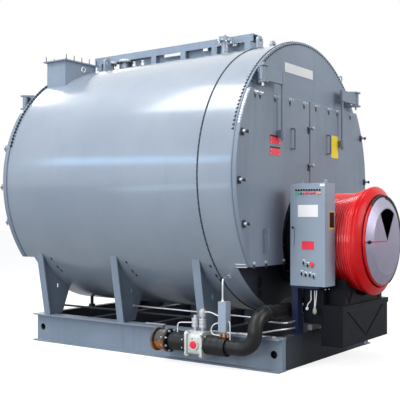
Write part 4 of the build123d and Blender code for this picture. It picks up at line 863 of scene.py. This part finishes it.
# Two thin arcs are the rubber rim; the wider arc from 8 to 84 degrees is painted shade of the gap between lid and
# collar.
for front, back, inner, outer, first, last, steps in (
    (-0.006, 0.0, 0.5215, 0.540, -70, 128, 56),
    (-0.006, 0.018, 0.5405, 0.5440, -70, 128, 56),
    (-0.020, -0.001, 0.500, 0.5420, 8, 84, 24),
):
    arc_band(edging_and_shade, BURNER_AXIS, collar_face + front, collar_face + back, inner, outer, math.radians(first),
        math.radians(last), steps)
hung("collar_edging_and_shade", edging_and_shade, black_shade_sheet)
groove_screws = [(x, mouth_y, BURNER_AXIS + z) for x, z in around(72, GROOVE)]
studs("groove_screws", groove_screws, FRONT, 0.0052, 0.006, "shadow_grey")
turns = [-78 + step * 3.2 for step in range(44)]
teeth_places, teeth_ways = fan((0, collar_face - 0.006, BURNER_AXIS), TEETH, turns)
studs("lid_teeth", teeth_places, teeth_ways, 0.0075, 0.011, "shadow_grey")
pointer = bmesh.new()
turned(pointer, (-0.468, collar_face - 0.004, BURNER_AXIS), FRONT, ((0, 20), (40, 20), (44, 14)), 16)
plate_box(pointer, (-0.505, collar_face - 0.047, BURNER_AXIS - 0.007),
    (-0.395, collar_face - 0.040, BURNER_AXIS + 0.007), 0.002)
hung("lid_pointer_knob", pointer, "black_paint")
print("groove screws", len(groove_screws), "lid teeth", len(teeth_places))

# %% [markdown]
# ## Blank plates
# A plate on the dome, notices on the leaves and small plates on the cabinet are all left blank: each is a thin
# enamelled sheet with softened edges, in the colour of its ground. Those on the drum's end have a rivet at each corner.


# %% Cut and rivet the blank plates
def enamel(name, color, roughness=0.32):
    return painted(name, color, roughness, coat=0.08, dust=0.08, streaks=0.1, grain=500.0, ripple=0.4, shine=0.2)


pale_enamel = enamel("pale_plate_enamel", (0.62, 0.62, 0.64))
white_enamel = enamel("white_plate_enamel", (0.84, 0.84, 0.86))
red_enamel = enamel("red_plate_enamel", (0.80, 0.018, 0.055))
yellow_enamel = enamel("yellow_plate_enamel", (0.80, 0.60, 0.012))
black_enamel = enamel("black_plate_enamel", (0.012, 0.012, 0.012))


def blank_plate(name, low, high, material, body="boiler", rivets=False):
    mesh = bmesh.new()
    plate_box(mesh, low, high, 0.0012)
    hung(name, mesh, material, body=body, smooth=False)
    if rivets:
        inset = 0.016
        heights = (low[2] + inset, high[2] - inset)
        spots = [(x, low[1], z) for x in (low[0] + inset, high[0] - inset) for z in heights]
        studs(name + "_rivets", spots, FRONT, 0.0042, 0.005, body=body)


NOTICE_FACE = DOOR_FACE - 0.004
blank_plate("dome_plate_blank", (-0.565, DOME_FACE - 0.004, 3.500), (0.165, DOME_FACE, 3.616), pale_enamel,
    rivets=True)
for number, (low_z, high_z) in enumerate(((2.600, 2.701), (2.471, 2.568))):
    blank_plate(f"red_notice_{number}", (-0.990, NOTICE_FACE, low_z), (-0.758, DOOR_FACE, high_z - 0.018),
        red_enamel, "left_door", rivets=True)
    blank_plate(f"red_notice_head_{number}", (-0.990, NOTICE_FACE, high_z - 0.0175), (-0.758, DOOR_FACE, high_z),
        black_enamel, "left_door")
blank_plate("yellow_notice", (0.596, NOTICE_FACE, 2.525), (0.808, DOOR_FACE, 2.822), yellow_enamel, "right_door",
    rivets=True)
print("notice face", round(NOTICE_FACE, 3))

# %% [markdown]
# ## The control cabinet's face
# Two rows of pilot lamps, a row of selector switches and a row of push buttons sit in the door. A lamp is a turned
# bezel with a domed lens. The lenses have four tints, so they are four meshes beside one mesh of bezels.

# %% Dress the cabinet door
DOOR_SKIN = -0.840
bezels = bmesh.new()
lenses = {tint: bmesh.new() for tint in ("green", "red", "amber", "dark")}
lamp_colors = ("green", "green", "dark", "red", "red", "red", "red", "red", "amber", "amber")
for column, color in enumerate(lamp_colors):
    y = -1.985 - column * 0.0335
    for z, tint in ((2.014, color), (2.054, "dark")):
        turned(bezels, (DOOR_SKIN, y, z), LEFT, ((0, 16), (4, 16), (6, 14.8)), 16)
        turned(lenses[tint], (DOOR_SKIN - 0.006, y, z), LEFT, ((0, 14.2), (4, 13.6), (8, 10), (10, 4)), 14)
lamp_finishes = {
    "green": enamel("green_lens", (0.010, 0.52, 0.22), 0.15),
    "red": enamel("red_lens", (0.80, 0.020, 0.060), 0.15),
    "amber": enamel("amber_lens", (0.95, 0.34, 0.04), 0.15),
    "dark": enamel("dark_lens", (0.02, 0.02, 0.025), 0.2),
}
buttons, red_buttons = bmesh.new(), bmesh.new()
for y, z, tall in ((-2.083, 1.216, 0.05), (-2.135, 1.190, 0.05), (-2.057, 1.092, 0.05), (-2.109, 1.079, 0.044),
        (-2.163, 1.079, 0.044), (-2.212, 1.064, 0.055)):
    turned(bezels, (DOOR_SKIN, y, z), LEFT, ((0, 21), (6, 21), (9, 18)), 16)
    turned(buttons, (DOOR_SKIN - 0.009, y, z), LEFT, ((0, 15.5), (6, 14.5), (7, 10)), 16)
    plate_box(buttons, (DOOR_SKIN - 0.020, y - 0.006, z - tall / 2), (DOOR_SKIN - 0.015, y + 0.006, z + tall / 2),
        0.002)
    plate_box(bezels, (DOOR_SKIN - 0.0025, y - 0.018, z + 0.028), (DOOR_SKIN, y + 0.018, z + 0.040), 0.001)
plate_box(lenses["green"], (DOOR_SKIN - 0.003, -2.103, 1.172), (DOOR_SKIN, -2.063, 1.186), 0.001)
turned(bezels, (DOOR_SKIN, -2.188, 1.206), LEFT, ((0, 24), (4, 24), (6, 20)), 18)
turned(red_buttons, (DOOR_SKIN - 0.006, -2.188, 1.206), LEFT, ((0, 12), (3, 12), (4, 26), (12, 26), (14, 18)), 18)
plate_box(red_buttons, (DOOR_SKIN - 0.003, -2.206, 1.160), (DOOR_SKIN, -2.168, 1.176), 0.001)
hung("lamp_bezels", bezels, zinc, body="cabinet_door")
hung("selector_switches", buttons, lamp_finishes["dark"], body="cabinet_door")
hung("stop_button", red_buttons, red_enamel, body="cabinet_door")
for tint, mesh in lenses.items():
    hung(f"lamp_lenses_{tint}", mesh, lamp_finishes[tint], body="cabinet_door")
for name, low, high, look in (
    ("cabinet_plate_blank", (-2.262, 1.745), (-2.005, 1.883), white_enamel),
    ("cabinet_red_notice", (-2.211, 1.369), (-2.057, 1.468), red_enamel),
    ("cabinet_tag", (-2.345, 2.092), (-2.285, 2.122), white_enamel),
):
    blank_plate(name, (DOOR_SKIN - 0.003, *low), (DOOR_SKIN, *high), look, "cabinet_door")
SIDE_SKIN = -2.350
blank_plate("cabinet_side_frame", (-0.741, SIDE_SKIN - 0.003, 1.602), (-0.612, SIDE_SKIN, 1.806), yellow_enamel)
blank_plate("cabinet_side_notice", (-0.733, SIDE_SKIN - 0.005, 1.622), (-0.620, SIDE_SKIN - 0.003, 1.798), black_enamel)
lock = bmesh.new()
turned(lock, (DOOR_SKIN - 0.020, -1.948, 1.622), LEFT, ((0, 13), (6, 13), (9, 10)), 16)
hung("cabinet_lock", lock, "black_paint", body="cabinet_door")
print("cabinet lamps", len(lamp_colors) * 2)

# %% [markdown]
# ## Glands and stubs under the cabinet
# Cables leave a cabinet downwards through glands, so that water runs off them. Three short rigid stubs hang from the
# foot plate beside the post, two of them with an end fitting, and three glands at the front are left plugged.

# %% Hang the glands and stubs
STUB_X = -0.735
GLAND = ((0, 15), (10, 15), (12, 11), (22, 11), (26, 8))
PLUG = ((0, 17), (12, 17), (14, 13), (26, 13), (30, 10))
glands, white_caps = bmesh.new(), bmesh.new()
for x, y in ((-0.790, -2.330), (-0.700, -2.330), (-0.640, -2.300)):
    turned(glands, (x, y, 0.953), DOWN, PLUG, 12)
    turned(white_caps, (x, y, 0.923), DOWN, ((0, 7), (5, 7), (7, 4)), 10)
for y in (-2.118, -2.165, -2.190):
    turned(glands, (STUB_X, y, 0.923), DOWN, GLAND, 12)
turned(white_caps, (STUB_X, -2.070, 0.700), (0, 0.15, -1), ((0, 8), (8, 17), (28, 17), (36, 9)), 14)
hung("cabinet_glands", glands, "black_paint")
hung("white_gland_caps", white_caps, white_enamel)
stub_routes = (
    in_plane(STUB_X, (-2.118, 0.922), (-2.118, 0.840), (-2.122, 0.775), (-2.072, 0.735), (-2.068, 0.690)),
    in_plane(STUB_X, (-2.165, 0.922), (-2.166, 0.820), (-2.164, 0.705)),
    in_plane(STUB_X, (-2.190, 0.922), (-2.190, 0.830), (-2.170, 0.705)),
)
bent_tubes("cabinet_stubs", stub_routes, 0.0055, white_enamel)
probe = bmesh.new()
turned(probe, (STUB_X, -2.166, 0.712), DOWN, ((0, 8), (10, 12), (40, 21), (66, 24), (82, 17), (90, 6)), 16)
hung("hanging_probe", probe, enamel("probe_green", (0.33, 0.40, 0.30)))
print("stubs", len(stub_routes))

# %% [markdown]
# ## Fittings on top of the drum
# Beside the roof channel stand two flanged stubs and two small cocks, a closed valve box sits on the front nozzle, and
# light brackets hang between the channel and the drum. The flue box carries a ring to lift it by.

# %% Set the fittings on the crown
crown_x = -0.120
crown_z = DRUM_AXIS + math.sqrt(DRUM_RADIUS**2 - crown_x**2) - 0.010
stubs, disks = bmesh.new(), bmesh.new()
stub_bolts = []
COCK = ((0, 18), (30, 18), (34, 30), (70, 30), (74, 14), (92, 14), (94, 26), (104, 26))
for y, tall in ((1.545, 110), (1.270, 115)):
    height = tall / 1000
    turned(stubs, (crown_x, y, crown_z), UP, ((0, 46), (tall, 46)), 20)
    turned(stubs, (crown_x, y, crown_z + height), UP, ((0, 85), (18, 85)), 24)
    turned(disks, (crown_x, y, crown_z + height + 0.018), UP, ((0, 85), (16, 85), (20, 80)), 24)
    stub_bolts += [(crown_x + dx, y + dy, crown_z + height) for dx, dy in around(8, 0.068, 0.2)]
for y in (1.090, 0.928):
    turned(disks, (crown_x, y, crown_z), UP, COCK, 16)
hung("crown_stubs", stubs, "jacket_grey")
hung("crown_blank_disks", disks, "cast_silver")
studs("crown_stub_bolts", stub_bolts, DOWN, 0.011, 0.026, "shadow_grey")
brackets = bmesh.new()
for first_y, last_y, low_z in ((0.273, 0.616, 4.030), (-0.150, -0.070, 4.035), (-0.620, -0.560, 4.045)):
    plate_box(brackets, (-0.020, first_y, low_z), (0.030, last_y, 4.078), 0.004)
hung("channel_brackets", brackets, "cast_silver", smooth=False)
valve_cap = bmesh.new()
cap_foot = (nozzle_middle.x, nozzle_middle.y, nozzle_high.z)
cap_top = (nozzle_middle.x, nozzle_middle.y, 4.150)
plate_box(valve_cap, off(cap_foot, -0.052, -0.050, 0), off(cap_top, 0.052, 0.050, 0), 0.006)
turned(valve_cap, cap_top, UP, ((0, 24), (10, 24), (14, 12), (23, 12)), 14)
bar(valve_cap, off(cap_top, 0, 0.046, -0.022), off(cap_top, 0, 0.092, -0.016), 0.007)
bar(valve_cap, off(cap_top, 0, 0.088, -0.038), off(cap_top, 0, 0.088, 0.016), 0.008)
hung("nozzle_valve_box", valve_cap, "skid_grey")
steel_ring("flue_lifting_ring", (-0.650, flue_low.y + 0.032, 3.870), 0.036, 0.007, zinc)
print("crown height", round(crown_z, 3), "stub bolts", len(stub_bolts))

# %% [markdown]
# ## The gas line's small parts
# The gas line gets what a fitter adds last: a tall actuator head, a red blank seal on the control valve, thin impulse
# tubes, brass fittings on the switch box, weld beads, and clamped sleeves after the riser's upper elbow.

# %% Dress the gas line
actuator_tops = bmesh.new()
turned(actuator_tops, (gas_x, -1.0675, 0.584), UP, ((0, 34), (10, 40), (70, 40), (76, 26), (88, 26), (92, 18)), 20)
turned(actuator_tops, (gas_x, -0.9625, 0.584), UP, ((0, 22), (8, 22), (12, 14)), 16)
for y in (-1.0675, -0.9625):
    for z in (0.470, 0.510, 0.548):
        turned(actuator_tops, (gas_x, y, z), UP, ((0, 42.5), (2, 45.5), (8, 45.5), (10, 42.5)), 24)
hung("actuator_heads", actuator_tops, "cast_silver")
seal = bmesh.new()
turned(seal, (control_low.x + 0.008, (control_low.y + control_high.y) / 2, gas_z), LEFT,
    ((0, 46), (4, 46), (6, 40)), 24)
hung("control_valve_seal", seal, red_enamel)
box_low, box_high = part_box("junction_box")
elbows = bmesh.new()
box_y = (box_low.y + box_high.y) / 2
turned(elbows, (gas_x, box_y, 0.378), UP, ((0, 30), (14, 30), (16, 22), (40, 22), (42, 28), (62, 28)), 6)
turned(elbows, (gas_x, box_y - 0.052, 0.372), UP, ((0, 14), (20, 14), (22, 10), (34, 10)), 6)
turned(elbows, (gas_x, box_y + 0.055, 0.372), UP, ((0, 14), (18, 14), (20, 9), (30, 9)), 6)
hung("switch_box_fitting", elbows, brass, smooth=False)
impulse_routes = (
    in_plane(gas_x, (-1.100, 0.640), (-1.180, 0.650), (-1.260, 0.615), (-1.318, 0.600)),
    in_plane(gas_x, (-1.422, 0.560), (-1.446, 0.552), (-1.450, 0.500), (-1.450, 0.420), (-1.450, 0.345)),
    in_plane(gas_x, (-1.318, 0.530), (-1.235, 0.525), (-1.180, 0.450), (-1.200, 0.392), (-1.280, 0.384),
        (-1.312, 0.392)),
    in_plane(gas_x, (-0.700, 0.370), (-0.700, 0.460), (-0.720, 0.492), (-0.850, 0.500), (-0.922, 0.505)),
    ((gas_x, -1.070, 0.400), (gas_x - 0.055, -1.120, 0.395), (gas_x - 0.060, -1.160, 0.340),
        (gas_x - 0.060, -1.165, 0.352)),
)
bent_tubes("impulse_tubes", impulse_routes, 0.0065, white_enamel)
PIPE_Y, PIPE_RADIUS = -1.780, 0.084
sleeves = bmesh.new()
cross_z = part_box("gas_outlet_pipe")[1].z - PIPE_RADIUS
for x in (-1.205, -1.165, -1.125, -1.085):
    turned(sleeves, (x, PIPE_Y, cross_z), (1, 0, 0), ((0, 84), (3, 94), (21, 94), (24, 84)), 28)
hung("riser_sleeves", sleeves, "pipe_black")
weld_beads = bmesh.new()
for y, drum in ((-1.232, 111.5), (-1.330, 111.5), (-0.636, 107.5), (-0.826, 107.5)):
    turned(weld_beads, (gas_x, y, gas_z), FRONT, ((0, drum), (3, drum + 3), (8, drum + 3), (11, drum)), 32)
hung("drum_weld_beads", weld_beads, "pipe_black")
end_low, end_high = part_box("gas_end_valve")
end_parts = bmesh.new()
turned(end_parts, (-0.575, end_low.y + 0.055, cross_z + 0.020), FRONT, ((0, 30), (30, 30), (34, 20), (52, 20)), 16)
plate_box(end_parts, (-0.625, end_low.y + 0.004, cross_z - 0.050), (-0.552, end_low.y + 0.050, cross_z + 0.004),
    0.004)
bar(end_parts, (-0.430, -1.862, cross_z - 0.030), (-0.430, -1.893, cross_z - 0.030), 0.009)
bar(end_parts, (-0.430, -1.890, cross_z - 0.078), (-0.430, -1.890, cross_z + 0.026), 0.009)
bar(end_parts, (-0.462, -1.890, cross_z + 0.020), (-0.398, -1.890, cross_z + 0.020), 0.008)
plate_box(end_parts, (-0.415, -1.965, 0.379), (-0.235, -1.905, 0.452), 0.005)
turned(end_parts, (-0.330, -1.935, 0.452), UP, ((0, 16), (30, 16), (34, 10), (60, 10)), 12)
hung("end_valve_fittings", end_parts, "cast_silver")
end_places, end_ways = [], []
for y, z in GAS_BOLTS:
    for x, way in ((end_low.x + 0.025, 1), (end_high.x - 0.025, -1)):
        end_places.append((x, PIPE_Y + y, cross_z + z))
        end_ways.append((way, 0, 0))
studs("end_valve_studs", end_places, end_ways, 0.0125, 0.020)
print("cross pipe height", round(cross_z, 3), "impulse tubes", len(impulse_routes))

# %% [markdown]
# ## Conduits along the skid
# Silver conduits run between the saddle webs and along the beam's top, some with lock nuts, and one climbs from the
# switch box to the drum. They are rigid tube, held at both ends and by clips, so they keep straight lines.

# %% Run the conduits
conduit_routes = (
    in_plane(-1.000, (0.352, 0.575), (0.150, 0.574), (-0.700, 0.568), (-0.931, 0.566)),
    in_plane(-1.000, (-0.949, 0.566), (-1.300, 0.565), (-1.520, 0.562), (-1.640, 0.532), (-1.780, 0.530),
        (-1.900, 0.530)) + [(-0.985, -1.933, 0.530), (-0.900, -1.933, 0.530), (-0.770, -1.933, 0.530)],
    in_plane(-1.226, (-1.080, 0.392), (-1.300, 0.392), (-1.940, 0.392)),
    ((-1.190, -1.400, 0.393), (-1.190, -1.560, 0.393), (-1.170, -1.680, 0.410), (-1.080, -1.800, 0.440),
        (-0.960, -1.900, 0.452), (-0.780, -1.933, 0.452)),
    in_plane(gas_x + 0.005, (-1.345, 0.778), (-1.345, 0.900), (-1.345, 1.010))
    + [(gas_x + 0.030, -1.340, 1.045), (-1.215, -1.320, 1.060)],
    in_plane(0.900, (1.700, 0.575), (0.800, 0.572), (-0.930, 0.566)),
)
bent_tubes("skid_conduits", conduit_routes, 0.0115, silver_tube)
clips = bmesh.new()
for y in (-1.140, -1.420, -1.700, -1.900):
    plate_box(clips, (-1.243, y - 0.012, 0.380), (-1.209, y + 0.012, 0.406), 0.003)
for y, z in ((0.350, 0.575), (-0.929, 0.566), (-0.951, 0.566)):
    turned(clips, (-1.000, y, z), (0, -1 if y > 0 or y < -0.94 else 1, 0), ((0, 22), (10, 22), (12, 17), (20, 17)), 6)
turned(clips, (-1.222, -1.3205, 1.060), LEFT, ((0, 24), (12, 24), (14, 16), (30, 16)), 12)
turned(clips, (gas_x + 0.005, -1.345, 0.779), UP, ((0, 20), (10, 20), (12, 15), (24, 15)), 6)
hung("conduit_clips", clips, zinc, smooth=False)
print("conduits", len(conduit_routes))

# %% [markdown]
# ## Small marks on the drum and its end
# Three short black plates on the drum beside each saddle web are painted shade, standing in for a dark slot there.
# Low on each side of the front tube sheet sit a square hand hole and a round cover above it.

# %% Add the drum's small plates
# Black plates that paint the shade of a slot beside each saddle web.
slot_shades = bmesh.new()
for web_y in (-0.940, 0.361, 1.720):
    for side in (-1, 1):
        for turn, deep, wide in ((-38.2, -0.150, 0.020), (-43.5, -0.165, 0.026), (-46.0, -0.185, 0.022)):
            angle = math.radians(turn)
            out = Vector((side * math.cos(angle), 0, math.sin(angle)))
            down = Vector((side * math.sin(angle), 0, -math.cos(angle)))
            spot = Vector((0, web_y + deep - 0.03, DRUM_AXIS)) + out * (DRUM_RADIUS - 0.0015)
            outline = ((-0.012, -wide), (0.012, -wide), (0.012, wide), (-0.012, wide))
            corners = [off(spot, 0, dy, 0) + down * dz for dy, dz in outline]
            prism(slot_shades, corners, out * 0.004)
hung("drum_slot_shade_plates", slot_shades, black_shade_sheet, smooth=False)
sheet_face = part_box("front_tube_sheet")[0].y
hand_holes = bmesh.new()
for x in (-0.850, 0.850):
    plate_box(hand_holes, (x - 0.045, sheet_face - 0.008, 0.790), (x + 0.045, sheet_face, 0.870), 0.006)
    turned(hand_holes, (x, sheet_face, 0.965), FRONT, ((0, 58), (7, 58), (10, 50)), 24)
hung("hand_hole_covers", hand_holes, black_shade_sheet)
print("tube sheet face", round(sheet_face, 3))

# %% [markdown]
# ## Strips on the smokebox and the air box
# Bright strips finish the smokebox's lower edge on both sides, and a dark one is painted shade in the air box's crease.

# %% Lay the strips
smoke_low, smoke_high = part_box("front_smokebox")
strips = bmesh.new()
for side in (-1, 1):
    for z, reach in ((smoke_low.z - 0.006, 0.010), (smoke_low.z + 0.028, 0.006)):
        x = side * (math.sqrt(DRUM_RADIUS**2 - (DRUM_AXIS - z) ** 2) + reach / 2)
        plate_box(strips, (x - 0.008, smoke_low.y + 0.012, z - 0.005), (x + 0.008, smoke_high.y, z + 0.005), 0.002)
hung("smokebox_edge_strips", strips, "cast_silver", smooth=False)
air_low, air_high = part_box("air_box")
# A dark strip painted as the shade in the air box's crease.
crease_shade = bmesh.new()
plate_box(crease_shade, (-0.640, air_low.y + 0.001, air_high.z - 0.066), (0.640, air_low.y + 0.010, air_high.z - 0.060),
    0.002)
hung("air_box_crease_shade", crease_shade, "shadow_grey", smooth=False)
print("smokebox foot", round(smoke_low.z, 3), "air box top", round(air_high.z, 3))

# %% [markdown]
# ## Closing plates on the skid and the duct
# The beam's web and the cross channels leave a slit at each corner, and the lifting holes show light through it. Small
# plates close both; the black boxing plates behind the holes are painted shade. Two black sheets close the gap between
# the duct, the air box and the front channel, and they too are painted shade.

# %% Close the skid's corners and the duct's sides
beams_low, beams_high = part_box("skid_beams")
cross_low, cross_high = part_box("skid_cross_channels")
# The black boxing plates behind the lifting holes are painted shade.
corners, pocket_shades = bmesh.new(), bmesh.new()
inner_x = abs(cross_low.x)
web_x = (abs(beams_low.x) + inner_x) / 2
plate_foot, plate_top = 0.016, beams_high.z - 0.016
for side in (-1, 1):
    for end_y, inward in ((cross_low.y, 1), (cross_high.y, -1)):
        plate_box(corners, (side * web_x, end_y - inward * 0.001, plate_foot),
            (side * (inner_x - 0.001), end_y + inward * 0.009, plate_top), 0.001)
        plate_box(pocket_shades, (side * (inner_x + 0.003), end_y + inward * 0.010, plate_foot),
            (side * (inner_x + 0.011), end_y + inward * 0.420, plate_top), 0.001)
hung("skid_corner_plates", corners, "skid_grey", smooth=False)
hung("skid_boxing_shade_plates", pocket_shades, black_shade_sheet, smooth=False)
duct_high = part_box("burner_duct")[1]
# Black sheets in the gap beside the duct are painted shade.
shade_wings = bmesh.new()
for side in (-1, 1):
    plate_box(shade_wings, (side * 0.529, duct_high.y - 0.010, air_high.z - 0.001),
        (side * 0.655, duct_high.y, duct_high.z - 0.050), 0.001)
    plate_box(shade_wings, (side * 0.648, duct_high.y - 0.001, 0.500), (side * 0.655, cross_low.y - 0.004, 1.000), 0.001)
hung("duct_side_shade_plates", shade_wings, "black_paint", smooth=False)
print("skid corner", round(web_x, 3), "duct rear", round(duct_high.y, 3))
